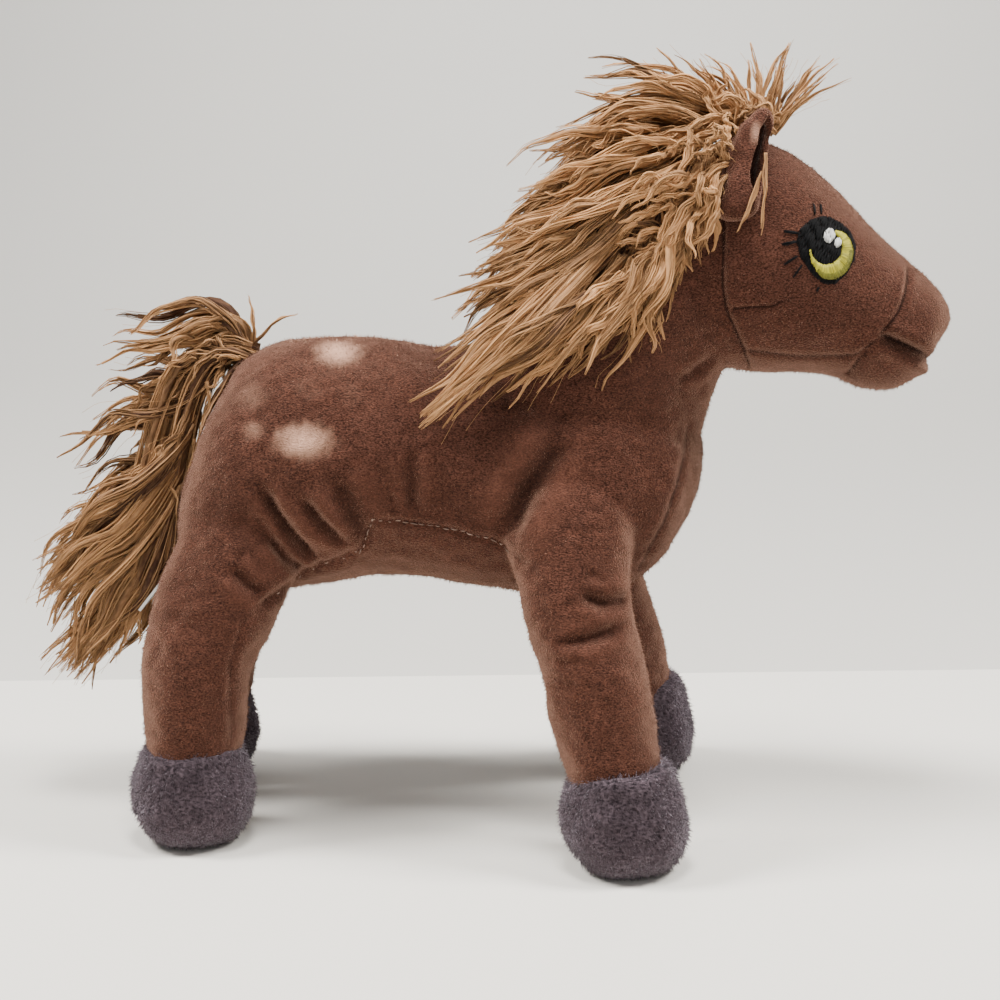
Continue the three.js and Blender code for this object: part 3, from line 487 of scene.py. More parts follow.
def plush(name, dark, light, pale, grain, sheen, sheen_weight=0.6):
    """Pile: fine flecks and broad strokes of nap, pale dapples, painted shade in creases and
    painted highlights on the lips of folds, and seams drawn as thin dark lines by their signed distance."""
    finish = new_finish(name, {
        "Roughness": 0.95, "Specular IOR Level": 0.12, "Sheen Weight": sheen_weight,
        "Sheen Roughness": 0.32, "Sheen Tint": (*sheen, 1),
    })
    tree = finish.node_tree
    shader = tree.nodes["Principled BSDF"]
    place = node(tree, "ShaderNodeTexCoord").outputs["Object"]

    def speckle(scale, detail, stretch=(1, 1, 1)):
        mapping = node(tree, "ShaderNodeMapping")
        mapping.inputs["Scale"].default_value = stretch
        tree.links.new(place, mapping.inputs["Vector"])
        texture = node(tree, "ShaderNodeTexNoise")
        texture.inputs["Scale"].default_value = scale
        texture.inputs["Detail"].default_value = detail
        tree.links.new(mapping.outputs[0], texture.inputs["Vector"])
        return texture.outputs["Fac"]

    def mixed(share, first, second, low=0.0, high=1.0):
        spread = node(tree, "ShaderNodeMapRange")
        spread.inputs["From Min"].default_value = low
        spread.inputs["From Max"].default_value = high
        tree.links.new(share, spread.inputs["Value"])
        mix = node(tree, "ShaderNodeMix", data_type="RGBA")
        tree.links.new(spread.outputs["Result"], mix.inputs["Factor"])
        for socket, value in (("A", first), ("B", second)):
            socket = next(s for s in mix.inputs if s.name == socket and s.type == "RGBA")
            if isinstance(value, tuple):
                socket.default_value = (*value, 1)
            else:
                tree.links.new(value, socket)
        return next(s for s in mix.outputs if s.type == "RGBA")

    flecks = speckle(grain, 2, (0.55, 1, 1))
    strokes = speckle(grain / 9, 2, (0.5, 1, 1.6))
    broad = speckle(60, 3)
    colour = mixed(flecks, dark, light, 0.36, 0.66)
    worn = mixed(flecks, tuple(0.7 * c for c in dark), tuple(0.72 * c for c in light), 0.33, 0.68)
    colour = mixed(strokes, colour, worn, 0.35, 0.7)
    colour = mixed(broad, colour, worn, 0.42, 0.75)

    def value(name):
        return node(tree, "ShaderNodeAttribute", attribute_name=name).outputs["Fac"]

    def combined(kind, first, second=None):
        math_node = node(tree, "ShaderNodeMath", operation=kind)
        for socket, source in zip(math_node.inputs, (first, second)):
            if isinstance(source, (int, float)):
                socket.default_value = source
            elif source is not None:
                tree.links.new(source, socket)
        return math_node.outputs[0]

    thin_line = node(tree, "ShaderNodeMapRange")
    thin_line.inputs["From Min"].default_value = 0.6
    thin_line.inputs["From Max"].default_value = 0.1
    tree.links.new(combined("ABSOLUTE", value("seam_offset")), thin_line.inputs["Value"])
    line = combined("MULTIPLY", thin_line.outputs["Result"], value("seam_near"))
    # painted highlight on the raised lips of folds
    colour = mixed(value("ridge"), colour, tuple(1.15 * c for c in light), 0.0, 3)
    # painted shade in the creases of folds and in the mouth groove
    colour = mixed(value("crease_shade"), colour, tuple(0.3 * c for c in dark), 0.0, 1.25)
    colour = mixed(value("tip"), colour, tuple(1.6 * c for c in light), 0.0, 2)
    colour = mixed(value("dapple"), colour, pale, 0.0, 1.15)
    colour = mixed(line, colour, tuple(0.25 * c for c in dark), 0.0, 1.2)
    tree.links.new(colour, shader.inputs["Base Color"])
    bump = node(tree, "ShaderNodeBump")
    bump.inputs["Strength"].default_value = 0.7
    bump.inputs["Distance"].default_value = 0.0009
    tree.links.new(flecks, bump.inputs["Height"])
    tree.links.new(bump.outputs["Normal"], shader.inputs["Normal"])
    return finish


brown_plush = plush(
    "brown_plush", (0.0255, 0.0094, 0.0062), (0.134, 0.052, 0.0335), (0.66, 0.385, 0.27),
    2900, (0.95, 0.56, 0.4),
)


def split_off(name, wanted):
    """Takes the wanted faces off the skin as a piece of their own."""
    edit_faces(skin, wanted)
    bpy.ops.mesh.separate(type="SELECTED")
    bpy.ops.object.mode_set(mode="OBJECT")
    piece = next(made for made in bpy.context.selected_objects if made != skin)
    piece.name = piece.data.name = name
    return piece


def close_cuts(piece):
    """Turns the cut edges in under the surface and caps them there."""
    select_only(piece)
    bpy.ops.object.mode_set(mode="EDIT")
    bpy.ops.mesh.select_mode(type="EDGE")
    bpy.ops.mesh.select_all(action="DESELECT")
    bpy.ops.mesh.select_non_manifold(
        extend=False, use_wire=False, use_boundary=True, use_multi_face=False,
        use_non_contiguous=False, use_verts=False,
    )
    bpy.ops.mesh.extrude_region_move(TRANSFORM_OT_translate={"value": (0, 0, 0)})
    bpy.ops.object.mode_set(mode="OBJECT")
    turned_in, seam_allowance = read(piece.data.vertices, "select", 1) > 0.5, 2.5
    inward = -read(piece.data.attributes["rest_normal"].data, "vector")
    points = points_of(piece)
    points[turned_in] += seam_allowance * inward[turned_in]
    set_points(piece, points)
    bpy.ops.object.mode_set(mode="EDIT")
    bpy.ops.mesh.select_all(action="SELECT")
    bpy.ops.mesh.fill_holes(sides=0)
    bpy.ops.object.mode_set(mode="OBJECT")


def add_pile(piece, density, length, width, lay, seed, bare=()):
    """Fibres that stand out of the cloth and lean the way its nap lies: density for each
    square mm. They leave the bare places free: middle x, z and half sizes, seen from the side."""
    chance = np.random.default_rng(seed)
    select_only(piece)
    mesh = piece.data
    mesh.calc_loop_triangles()
    corners = np.empty(len(mesh.loop_triangles) * 3, np.int32)
    mesh.loop_triangles.foreach_get("vertices", corners)
    corners = corners.reshape(-1, 3)
    points, outward = points_of(piece), normals_of(piece)
    sides = points[corners[:, 1:]] - points[corners[:, :1]]
    area = np.linalg.norm(np.cross(sides[:, 0], sides[:, 1]), axis=1) / 2
    picked = chance.choice(len(corners), int(area.sum() * density), p=area / area.sum())
    share = chance.dirichlet((1, 1, 1), len(picked))
    spots = corners[picked]

    def at_root(values):
        return (values[spots] * share.reshape(*share.shape, *[1] * (values.ndim - 1))).sum(axis=1)

    roots, upright = at_root(points), at_root(outward)
    kept = np.ones(len(roots), bool)
    for x, z, half_long, half_high in bare:
        kept &= np.hypot((roots[:, 0] - x) / half_long, (roots[:, 2] - z) / half_high) > 1
    roots, upright, spots, share = roots[kept], upright[kept], spots[kept], share[kept]
    upright /= np.maximum(np.linalg.norm(upright, axis=1, keepdims=True), 1e-6)
    lean = np.array(lay, float) - upright * (upright @ np.array(lay, float))[:, None]
    way = 0.55 * upright + 0.8 * lean + 0.33 * chance.normal(size=roots.shape)
    way /= np.linalg.norm(way, axis=1, keepdims=True)
    across = np.cross(way, chance.normal(size=roots.shape))
    across /= np.linalg.norm(across, axis=1, keepdims=True)
    third = np.cross(way, across)
    tips = roots + way * (length * chance.uniform(0.6, 1.25, len(roots)))[:, None]
    tips[:, 2] = np.maximum(tips[:, 2], 0.1)
    base = roots - 0.15 * upright
    base[:, 2] = np.maximum(base[:, 2], 0.3)
    ring = [base + width / 2 * (math.cos(a) * across + math.sin(a) * third) for a in (0, 2.09, 4.19)]
    blades = np.stack([*ring, tips], axis=1).reshape(-1, 3)
    faces = np.array([[0, 1, 3], [1, 2, 3], [2, 0, 3], [0, 2, 1]])
    faces = (faces[None] + 4 * np.arange(len(roots))[:, None, None]).reshape(-1, 3)
    pile_mesh = bpy.data.meshes.new("pile")
    pile_mesh.from_pydata((blades / 1000).tolist(), [], faces.tolist())
    pile_mesh.shade_smooth()
    pile = bpy.data.objects.new("pile", pile_mesh)
    bpy.context.scene.collection.objects.link(pile)
    for name in painted:
        if name in mesh.attributes:
            values = at_root(read(mesh.attributes[name].data, "value", 1))
            paint_points(pile, name, np.repeat(values, 4))
    paint_points(piece, "tip", np.zeros(len(points)))
    tip = np.stack([np.zeros(len(roots))] * 3 + [chance.uniform(0.2, 1.1, len(roots))], axis=1)
    paint_points(pile, "tip", tip.ravel())
    shading = upright + 0.35 * way + 0.18 * chance.normal(size=roots.shape)
    shading /= np.linalg.norm(shading, axis=1, keepdims=True)
    normals = np.concatenate([outward, np.repeat(shading, 4, axis=0)])
    if "rest_normal" in mesh.attributes:
        normals[:len(points)] = read(mesh.attributes["rest_normal"].data, "vector")
        mesh.attributes.remove(mesh.attributes["rest_normal"])
    if len(mesh.materials):
        pile_mesh.materials.append(mesh.materials[0])
    select_only(piece, pile)
    bpy.ops.object.join()
    piece.data.normals_split_custom_set_from_vertices(normals.tolist())


def face_middles():
    return read(skin.data.polygons, "center") * 1000


def line_x(line, z):
    """Where a side-view line crosses each height."""
    ordered = np.array(sorted(line, key=lambda p: p[1]), float)
    return np.interp(z, ordered[:, 1], ordered[:, 0])


# planes across the tops of the right legs: the way down the leg, and how far along it
leg_cuts = {"front": ((0.45, -0.6, -0.66), -25.4), "rear": ((-0.2, -0.72, -0.66), -19.5)}
left_shift = {"front": 0, "rear": -8}


def leg_cut(place):
    """The plane across the top of a leg: its normal, which points down the leg, and distance."""
    side, end = place.split("_")
    way, distance = leg_cuts[end]
    if side == "left":
        way = (way[0], -way[1], way[2])
        distance += way[0] * left_shift[end]
    return np.array(way) / np.linalg.norm(way), distance / np.linalg.norm(way)


middles, throat_height = face_middles(), 133
ahead_of_seam = middles[:, 0] > line_x(neck_seam, middles[:, 2])
skins = {"head": split_off("head_skin", ahead_of_seam & (middles[:, 2] >= throat_height))}
front_from, rear_to = -12, -20
for place in feet:
    middles = face_middles()
    way, distance = leg_cut(place)
    same_side = middles[:, 1] * (right if "right" in place else left) > 0
    same_end = middles[:, 0] > front_from if "front" in place else middles[:, 0] < rear_to
    skins[place] = split_off(f"{place}_leg_skin", (middles @ way > distance) & same_side & same_end)
skins["torso"] = skin
skin.name = skin.data.name = "torso_and_neck_skin"
# no pile stands where the eyes are stitched on
eye_patch = (95, 171, 9.3, 10)
for seed, (place, piece) in enumerate(skins.items(), 60):
    close_cuts(piece)
    piece.data.materials.append(brown_plush)
    length = 0.75 if place == "head" else 1.05
    add_pile(
        piece, density=1.25, length=length, width=0.24, lay=(-0.35, 0, -0.9), seed=seed,
        bare=[eye_patch],
    )

# where the neck starts to bend and where it follows the head, in metres, and how far below
# its cut a leg starts to bend, and over what length
neck_bend = ((0.050, 0, 0.1188), (0.0615, 0, 0.1404))
bend_start, bend_length = 1.5, 28


def follow(piece, place):
    """Makes a piece of skin, or what is sewn to it, bend the way the filled skin does."""
    if place == "head":
        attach(piece, "head")
    elif place == "torso":
        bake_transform(piece, "torso", "head", start=neck_bend[0], end=neck_bend[1])
    else:
        way, distance = leg_cut(place)
        start = Vector(way) * (distance + bend_start) / 1000
        end = start + Vector(way) * (bend_length / 1000)
        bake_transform(piece, "torso", f"{place}_leg", start=start, end=end)


for place, piece in skins.items():
    follow(piece, place)
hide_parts("torso_cover", "neck_cover", "body_stuffing")
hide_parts("head_cover", "nose_cover", "chin_cover", "head_stuffing")
for place in feet:
    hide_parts(f"{place}_leg_cover", f"{place}_leg_stuffing")

# Feet: rounded boots of longer grey-violet pile, filled, each sewn round the end of a leg
# along a seam that tilts up to the toe.
hoof_tilt, hoof_lean = {"front": 0.12, "rear": 0.05}, {"front": -4.2, "rear": 0}
# height up the foot, radius
hoof_profile = [
    (0, 8.5), (1.2, 11.5), (3.5, 14.2), (8, 16.8), (14, 17.7), (20, 17.1), (25, 15.8), (29, 14.5), (31, 13),
]
grey_dark, grey_light = (0.027, 0.02, 0.025), (0.12, 0.089, 0.105)
grey_plush = plush(
    "grey_plush", grey_dark, grey_light, grey_light, 1500, (0.7, 0.62, 0.7), sheen_weight=0.5
)
for place, (x, y) in feet.items():
    end = place.split("_")[1]
    x += 0.5 * hoof_lean[end]
    rings = [(x, y, z, r, r * 0.98) for z, r in hoof_profile]
    tube = grow_tube(f"{place}_hoof", "Z", rings)
    hoof = fill_out([tube], f"{place}_foot", voxel=0.9, easing=6)
    points, outward = points_of(hoof), normals_of(hoof)
    # its top slopes up to the toe, leans with the leg and settles a little
    rise = smooth_step(4, 27, points[:, 2])
    points[:, 2] += hoof_tilt[end] * rise * (points[:, 0] - x)
    points[:, 0] += 0.6 * hoof_lean[end] * rise
    points[:, 2] *= 1 - 0.035 * rise
    points += outward * (0.4 * lumps(points, 11, 5) + 0.18 * lumps(points, 4, 6))[:, None]
    points[:, 2] = np.maximum(points[:, 2], 0.05)
    set_points(hoof, points)
    hoof.data.materials.append(grey_plush)
    add_pile(hoof, density=2.1, length=1.75, width=0.36, lay=(0.3, 0, -0.9), seed=70)
    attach(hoof, f"{place}_leg")
    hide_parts(f"{place}_hoof")

# Ears: cupped leaves of the same brown plush, lined with darker cloth, open to the front
# and the side, and sewn into the top of the head.
ear_wall, lining_wall, ear_spacing, opening_foot = 1.5, 0.5, 17.2, 183.5
opening = (12, 72)  # degrees, from straight ahead round to the side
# rings of the right ear: middle x, y, z, half depth, half width
ear_rings = [
    (71, -18.6, 178, 4, 4), (70.8, -19.2, 181, 5.8, 6), (70.8, -19.2, 184.6, 6.6, 6.6),
    (71.4, -18.4, 189, 6.2, 6.2), (72.6, -17.7, 194, 5.6, 5.6), (74.2, -17.3, 199.5, 5.2, 5),
    (75.6, -17.1, 204, 4.6, 4), (76.8, -16.9, 206.8, 3, 2.5), (77.6, -16.7, 208.6, 1.2, 1),
]
lining_cloth = plush(
    "ear_lining", (0.04, 0.016, 0.011), (0.1, 0.045, 0.032), (0.3, 0.2, 0.16), 2600, (0.5, 0.4, 0.35)
)


def open_leaf(name, side, shrink):
    """A pointed tube with its front opened."""
    rings = [
        (x, -y * side, z, max(0.3, deep - shrink), max(0.3, wide - shrink))
        for x, y, z, deep, wide in ear_rings
    ]
    leaf = grow_tube(name, "Z", rings, sides=24)
    middle = np.array(ear_rings, float)
    centre = read(leaf.data.polygons, "center") * 1000
    x = centre[:, 0] - np.interp(centre[:, 2], middle[:, 2], middle[:, 0])
    y = centre[:, 1] * side - ear_spacing
    angle = np.degrees(np.arctan2(y, x))
    closing = smooth_step(191, 184, centre[:, 2]) + smooth_step(203, 209, centre[:, 2])
    low = opening[0] + 36 * closing
    high = opening[1] - 36 * closing
    edit_faces(leaf, (angle > low) & (angle < high) & (centre[:, 2] > opening_foot))
    bpy.ops.mesh.delete(type="FACE")
    bpy.ops.object.mode_set(mode="OBJECT")
    return leaf


for name, side in (("right", right), ("left", left)):
    ear = open_leaf(f"{name}_ear_shell", side, 0)
    apply_modifier(ear, "SOLIDIFY", thickness=ear_wall / 1000, offset=-1)
    apply_modifier(ear, "SUBSURF", levels=1, render_levels=1)
    points, outward = points_of(ear), normals_of(ear)
    points += outward * (0.25 * lumps(points, 6, 7))[:, None]
    set_points(ear, points)
    # a pale edge near the top of the near flap, painted into the dapple layer: part the pale edge of the
    # lining, part painted highlight
    far_out = np.hypot(points[:, 1] * side - 22, points[:, 0] - 75.5)
    lining_edge_and_highlight = smooth_step(2.4, 0.6, far_out) * smooth_step(198, 202, points[:, 2])
    paint_points(ear, "dapple", 0.42 * lining_edge_and_highlight)
    ear.data.materials.append(brown_plush)
    ear.data.shade_smooth()
    add_pile(ear, density=1.2, length=0.7, width=0.2, lay=(0, 0, 1), seed=80)
    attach(ear, f"{name}_ear")
    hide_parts(f"{name}_ear")
    lining = open_leaf(f"{name}_ear_inside", side, ear_wall + 0.05)
    apply_modifier(lining, "SOLIDIFY", thickness=lining_wall / 1000, offset=-1)
    lining.data.materials.append(lining_cloth)
    lining.data.shade_smooth()
    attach(lining, f"{name}_ear")
    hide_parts(f"{name}_ear_lining")

# Yarn and thread: spun fibre for the hair, the stitching and the eyes. Every strand is a
# fine closed strip of three sides that follows a line.
def strands(name, lines, thickness, tone, twist=0.0):
    """Strands along lines (strand, point, xyz) with a thickness at each point, as one mesh."""
    count, steps, _ = lines.shape
    along = np.gradient(lines, axis=1)
    along /= np.maximum(np.linalg.norm(along, axis=2, keepdims=True), 1e-9)
    # seen from a direction that few strands run along
    across = np.cross(np.array([0.31, 0.87, 0.38]), along)
    across /= np.maximum(np.linalg.norm(across, axis=2, keepdims=True), 1e-9)
    upward = np.cross(along, across)
    turn = np.linspace(0, twist, steps)[None, :] + np.arange(count)[:, None]
    corners = []
    for side in range(3):
        angle = (turn + side * 2 * math.pi / 3)[:, :, None]
        corners.append(lines + (np.cos(angle) * across + np.sin(angle) * upward) * thickness[:, :, None] / 2)
    points = np.stack(corners, axis=2).reshape(-1, 3)
    ring = np.arange(steps - 1)[:, None] * 3
    side = np.arange(3)[None, :]
    here, following = ring + side, ring + (side + 1) % 3
    faces = np.concatenate([
        np.stack([here, following, following + 3], axis=2).reshape(-1, 3),
        np.stack([here, following + 3, here + 3], axis=2).reshape(-1, 3),
        np.array([[0, 2, 1], [3 * steps - 3, 3 * steps - 2, 3 * steps - 1]]),
    ])
    faces = (faces[None] + (np.arange(count) * 3 * steps)[:, None, None]).reshape(-1, 3)
    mesh = bpy.data.meshes.new(name)
    mesh.from_pydata((points / 1000).tolist(), [], faces.tolist())
    mesh.shade_smooth()
    piece = bpy.data.objects.new(name, mesh)
    bpy.context.scene.collection.objects.link(piece)
    tone = np.broadcast_to(np.reshape(tone, (count, -1)), (count, steps))
    paint_points(piece, "tone", np.repeat(tone.ravel(), 3))
    # a place for each corner that runs along its strand and round it, for the fibres
    passed = np.linalg.norm(np.diff(lines, axis=1, prepend=lines[:, :1]), axis=2).cumsum(axis=1)
    fibre = np.zeros((count, steps, 3, 3), np.float32)
    fibre[..., 0] = 1.3 * np.arange(3) + 7.7 * np.arange(count)[:, None, None]
    fibre[..., 1] = 0.16 * passed[..., None]
    layer = mesh.attributes.new("fibre", "FLOAT_VECTOR", "POINT")
    layer.data.foreach_set("vector", fibre.ravel())
    return piece


def thread(name, dark, light, roughness, sheen, shine=0.3):
    """Thread or yarn: each strand has its own tone, with the streaks of its fibres along it."""
    finish = new_finish(name, {
        "Roughness": roughness, "Specular IOR Level": shine, "Sheen Weight": sheen,
        "Sheen Roughness": 0.35, "Sheen Tint": (*light, 1),
    })
    tree = finish.node_tree
    shader = tree.nodes["Principled BSDF"]
    tone = node(tree, "ShaderNodeAttribute", attribute_name="tone").outputs["Fac"]
    streaks = node(tree, "ShaderNodeTexNoise")
    streaks.inputs["Scale"].default_value = 1.6
    streaks.inputs["Detail"].default_value = 3
    fibre = node(tree, "ShaderNodeAttribute", attribute_name="fibre").outputs["Vector"]
    tree.links.new(fibre, streaks.inputs["Vector"])
    both = node(tree, "ShaderNodeMath", operation="MULTIPLY_ADD")
    tree.links.new(streaks.outputs["Fac"], both.inputs[0])
    both.inputs[1].default_value = 0.5
    tree.links.new(tone, both.inputs[2])
    ramp = node(tree, "ShaderNodeValToRGB")
    ramp.color_ramp.elements[0].position = 0.15
    ramp.color_ramp.elements[0].color = (*dark, 1)
    ramp.color_ramp.elements[1].position = 1.0
    ramp.color_ramp.elements[1].color = (*light, 1)
    tree.links.new(both.outputs[0], ramp.inputs["Fac"])
    tree.links.new(ramp.outputs["Color"], shader.inputs["Base Color"])
    bump = node(tree, "ShaderNodeBump")
    bump.inputs["Strength"].default_value = 0.6
    bump.inputs["Distance"].default_value = 0.0004
    tree.links.new(streaks.outputs["Fac"], bump.inputs["Height"])
    tree.links.new(bump.outputs["Normal"], shader.inputs["Normal"])
    return finish


# Eyes: satin stitch on both sides of the head. A black oval, a yellow and olive crescent
# round the pupil, two white glints and single black stitches for lashes.
eye_middle = (95, 171)
eye_outline = [
    (-1, 8.8), (-4.3, 7.9), (-7.2, 5.6), (-8.2, 2.4), (-7, -2), (-3.8, -6.5), (-0.5, -9.2),
    (2.7, -9.2), (5.9, -6.5), (8, -3), (8.5, 0.8), (7.3, 4.1), (4.4, 6.8), (1.6, 8.2),
]
pupil_middle, pupil_radius = (0, 0.3), 4.5
# outer edge of the iris seen from the middle of the pupil: angle in degrees, distance
iris_edge = [
    (-175, 4.65), (-155, 4.8), (-123, 5.9), (-96, 7.9), (-75, 8.6), (-53, 8.5), (-26, 7.9),
    (-2, 7.5), (13, 7.1), (36, 6.3), (60, 5.2),
]
# each lash from its tip to the edge of the black
lashes = [
    ((-11.7, 4.8), (-7.6, 4.3)), ((-12.2, 1.3), (-7.9, 2.2)), ((-11.5, -4.1), (-7.9, -1.8)),
    ((-8.9, -7.5), (-6.6, -4.2)), ((-3.6, 12.1), (-3.2, 9.2)), ((-1.5, 11.9), (-1.4, 9.4)),
    ((-2.4, -11.1), (-1.9, -10.2)),
]
# glints: middle, half width, half height, turn
glint_shapes = {"large": ((0.6, 3.5), 1.5, 1.85, -0.3), "small": ((3, 1.6), 0.95, 1.2, -0.2)}
black_thread = thread(
    "black_thread", (0.0008, 0.0008, 0.001), (0.0045, 0.0045, 0.0055), 0.65, 0, shine=0.12
)
green_thread = thread("green_thread", (0.14, 0.14, 0.02), (0.66, 0.6, 0.05), 0.5, 0)
white_thread = thread("white_thread", (0.55, 0.55, 0.53), (0.85, 0.85, 0.83), 0.4, 0.1)


def on_side(x, z, side):
    """The point of the skin seen from one side at x, z, and its outward normal."""
    hit, normal, _, _ = skin_surface.ray_cast(Vector((x, side * 90, z)), Vector((0, -side, 0)))
    if hit is None:
        hit, normal, _, _ = skin_surface.find_nearest(Vector((x, side * 20, z)))
    return np.array(hit), np.array(normal)


def sew(name, stitches, side, middle, lift, crown, width, chance):
    """Stitches from start to end, measured from a middle in the side view. They are lifted
    off the skin, and their crown is raised above that."""
    steps = 5
    lines = np.zeros((len(stitches), steps, 3))
    for row, (start, end) in enumerate(stitches):
        for step in range(steps):
            t = step / (steps - 1)
            x = middle[0] + start[0] + (end[0] - start[0]) * t
            z = middle[1] + start[1] + (end[1] - start[1]) * t
            place, normal = on_side(x, z, side)
            lines[row, step] = place + normal * (lift + crown * 4 * t * (1 - t))
    shape = np.array([0.5, 0.95, 1, 0.95, 0.5])
    thickness = width * shape[None, :] * chance.uniform(0.85, 1.15, (len(stitches), 1))
    return strands(name, lines, thickness, chance.uniform(0.1, 0.7, len(stitches)))


def rows_inside(outline, tilt, gap, length, chance):
    """Rows of stitches that fill an outline, laid at a tilt and broken into lengths."""
    ahead = np.array([math.cos(tilt), math.sin(tilt)])
    beside = np.array([-ahead[1], ahead[0]])
    outline = np.array(outline, float)
    high = outline @ beside
    stitches = []
    for offset in np.arange(high.min() + gap / 2, high.max(), gap):
        crossings = []
        for start, end in zip(outline, np.roll(outline, -1, axis=0)):
            low, top = start @ beside - offset, end @ beside - offset
            if low * top < 0:
                crossings.append((start + (end - start) * low / (low - top)) @ ahead)
        if len(crossings) < 2:
            continue
        at, last = min(crossings) - chance.uniform(0, 0.25), max(crossings) + chance.uniform(0, 0.25)
        cuts = [at] + list(np.arange(at + length * chance.uniform(0.3, 1), last - 0.4, length)) + [last]
        stitches += [
            (ahead * a + beside * offset, ahead * b + beside * offset) for a, b in zip(cuts, cuts[1:])
        ]
    return stitches


def round_outline(middle, half_wide, half_high, turn):
    angles = np.radians(np.arange(0, 360, 15))
    x, z = half_wide * np.cos(angles), half_high * np.sin(angles)
    return [
        (middle[0] + a * math.cos(turn) - b * math.sin(turn),
         middle[1] + a * math.sin(turn) + b * math.cos(turn)) for a, b in zip(x, z)
    ]


def crescent(inner_share, outer_share, first, last, gap, chance):
    """Stitches that point away from the pupil, between two shares of the iris band."""
    edge = np.array(iris_edge, float)
    stitches = []
    for angle in np.arange(first, last, gap):
        outer = np.interp(angle, edge[:, 0], edge[:, 1])
        band = outer - pupil_radius
        way = np.array([math.cos(math.radians(angle)), math.sin(math.radians(angle))])
        inside = pupil_radius + band * inner_share - chance.uniform(0, 0.35)
        outside = pupil_radius + band * outer_share + chance.uniform(-0.15, 0.15)
        stitches.append((way * inside + pupil_middle, way * outside + pupil_middle))
    return stitches


for name, side in (("right", right), ("left", left)):
    chance = np.random.default_rng(11)
    black = rows_inside(eye_outline, math.radians(68), 0.24, 4.2, chance)
    for start, end in lashes:
        black += [
            ((start[0] + x, start[1] + z), (end[0] + x, end[1] + z))
            for x, z in ((0, 0), (0.2, 0.12), (-0.05, 0.25), (0.1, -0.15))
        ]
    surround = sew(f"{name}_eye_black", black, side, eye_middle, 0.15, 0.22, 0.42, chance)
    surround.data.materials.append(black_thread)
    yellow = crescent(0, 1, -174, 60, 1.4, chance)
    iris = sew(f"{name}_eye_yellow", yellow, side, eye_middle, 0.42, 0.2, 0.32, chance)
    olive = crescent(0.55, 1.02, -112, -8, 1.4, chance)
    under = sew(f"{name}_eye_olive", olive, side, eye_middle, 0.55, 0.12, 0.3, chance)
    paint_points(under, "tone", read(under.data.attributes["tone"].data, "value", 1) * 0.25 - 0.15)
    select_only(iris, under)
    bpy.ops.object.join()
    iris.data.materials.append(green_thread)
    glints = {
        part: rows_inside(round_outline(*shape), 1.4, 0.27, 5, chance)
        for part, shape in glint_shapes.items()
    }
    for piece, finish, part in ((surround, "black_thread", "surround"), (iris, "green_thread", "iris")):
        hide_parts(f"{name}_eye_{part}")
        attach(piece, "head")
    for part, rows in glints.items():
        glint = sew(f"{name}_eye_{part}_glint", rows, side, eye_middle, 0.6, 0.25, 0.4, chance)
        glint.data.materials.append(white_thread)
        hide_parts(f"{name}_eye_{part}_highlight")
        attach(glint, "head")

# Belly seam: pale sewing thread that shows as short, uneven stitches along the edge of the
# panel under the belly, round the flank and onto the thigh, the same on both sides.
def along_line(line, gap):
    """Points spaced evenly along a side-view line."""
    line = np.array(line, float)
    passed = np.concatenate([[0], np.cumsum(np.linalg.norm(np.diff(line, axis=0), axis=1))])
    at = np.arange(0, passed[-1], gap)
    return np.stack([np.interp(at, passed, line[:, 0]), np.interp(at, passed, line[:, 1])], axis=1)


# seam, mm from one stitch to the next, length of a stitch
stitching = [("belly", 2.3, 1.9), ("flank", 2.3, 2), ("thigh", 5, 1.2)]
seam_thread = thread("seam_thread", (0.16, 0.1, 0.075), (0.6, 0.42, 0.33), 0.6, 0.2)
for name, side in (("right", right), ("left", left)):
    chance = np.random.default_rng(12)
    stitches = []
    for seam, gap, length in stitching:
        spots = along_line(seams[seam][0], gap)
        ways = np.gradient(spots, axis=0)
        ways /= np.linalg.norm(ways, axis=1, keepdims=True)
        for spot, way in zip(spots, ways):
            half = length / 2 * chance.uniform(0.35, 1.15)
            start = spot - way * half + chance.normal(0, 0.16, 2)
            stitches.append((start, start + way * 2 * half + chance.normal(0, 0.12, 2)))
    sewing = sew(f"{name}_belly_stitches", stitches, side, (0, 0), 0.15, 0.2, 0.34, chance)
    sewing.data.materials.append(seam_thread)
    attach(sewing, "torso")

# Mane: locks of combed tan yarn sewn along the crest of the neck. They fan from the poll
# back over the right shoulder, and a few shorter ones fall to the left.
tan_yarn = thread("tan_yarn", (0.042, 0.015, 0.0055), (0.62, 0.33, 0.145), 0.85, 0.3)
# guide lines of the locks, each from its root to its tip: over the right shoulder, to the
# left, and along the ridge
mane_guides = [
    ((71, -4, 205), (60, -6, 213), (44, -6, 217), (22, -4, 219)),
    ((71, -6, 205), (60, -8, 212), (48, -8, 215), (28, -8, 213)),
    ((68, -6, 203), (49, -12, 207), (34, -12, 202), (19, -8, 192)),
    ((65, -8, 202), (41, -16, 198), (22, -16, 190), (6, -12, 181)),
    ((61, -10, 199), (39, -20, 190), (18, -22, 181), (-2, -18, 171)),
    ((58, -10, 196), (35, -22, 181), (14, -26, 171), (-6, -22, 164)),
    ((53, -10, 191), (31, -24, 173), (8, -28, 159), (-15, -26, 147)),
    ((50, -10, 186), (28, -26, 164), (4, -32, 144), (-17, -34, 127)),
    ((50, -12, 184), (34, -28, 160), (12, -34, 141), (-10, -36, 126)),
    ((51, -14, 183), (39, -28, 158), (22, -34, 143), (7, -36, 128)),
    ((53, -14, 184), (45, -27, 161), (34, -31, 146), (24, -33, 133)),
    ((56, -14, 187), (49, -26, 165), (42, -28, 152), (36, -30, 141)),
    ((58, -14, 190), (52, -25, 170), (48, -27, 157), (45, -28, 144)),
    ((61, -13, 193), (56, -23, 177), (52, -25, 165), (50, -25, 154)),
    ((65, -12, 198), (62, -20, 186), (60, -22, 177), (58, -22, 171)),
    ((68, -12, 200), (66, -18, 192), (65, -19, 187), (64, -20, 181)),
]
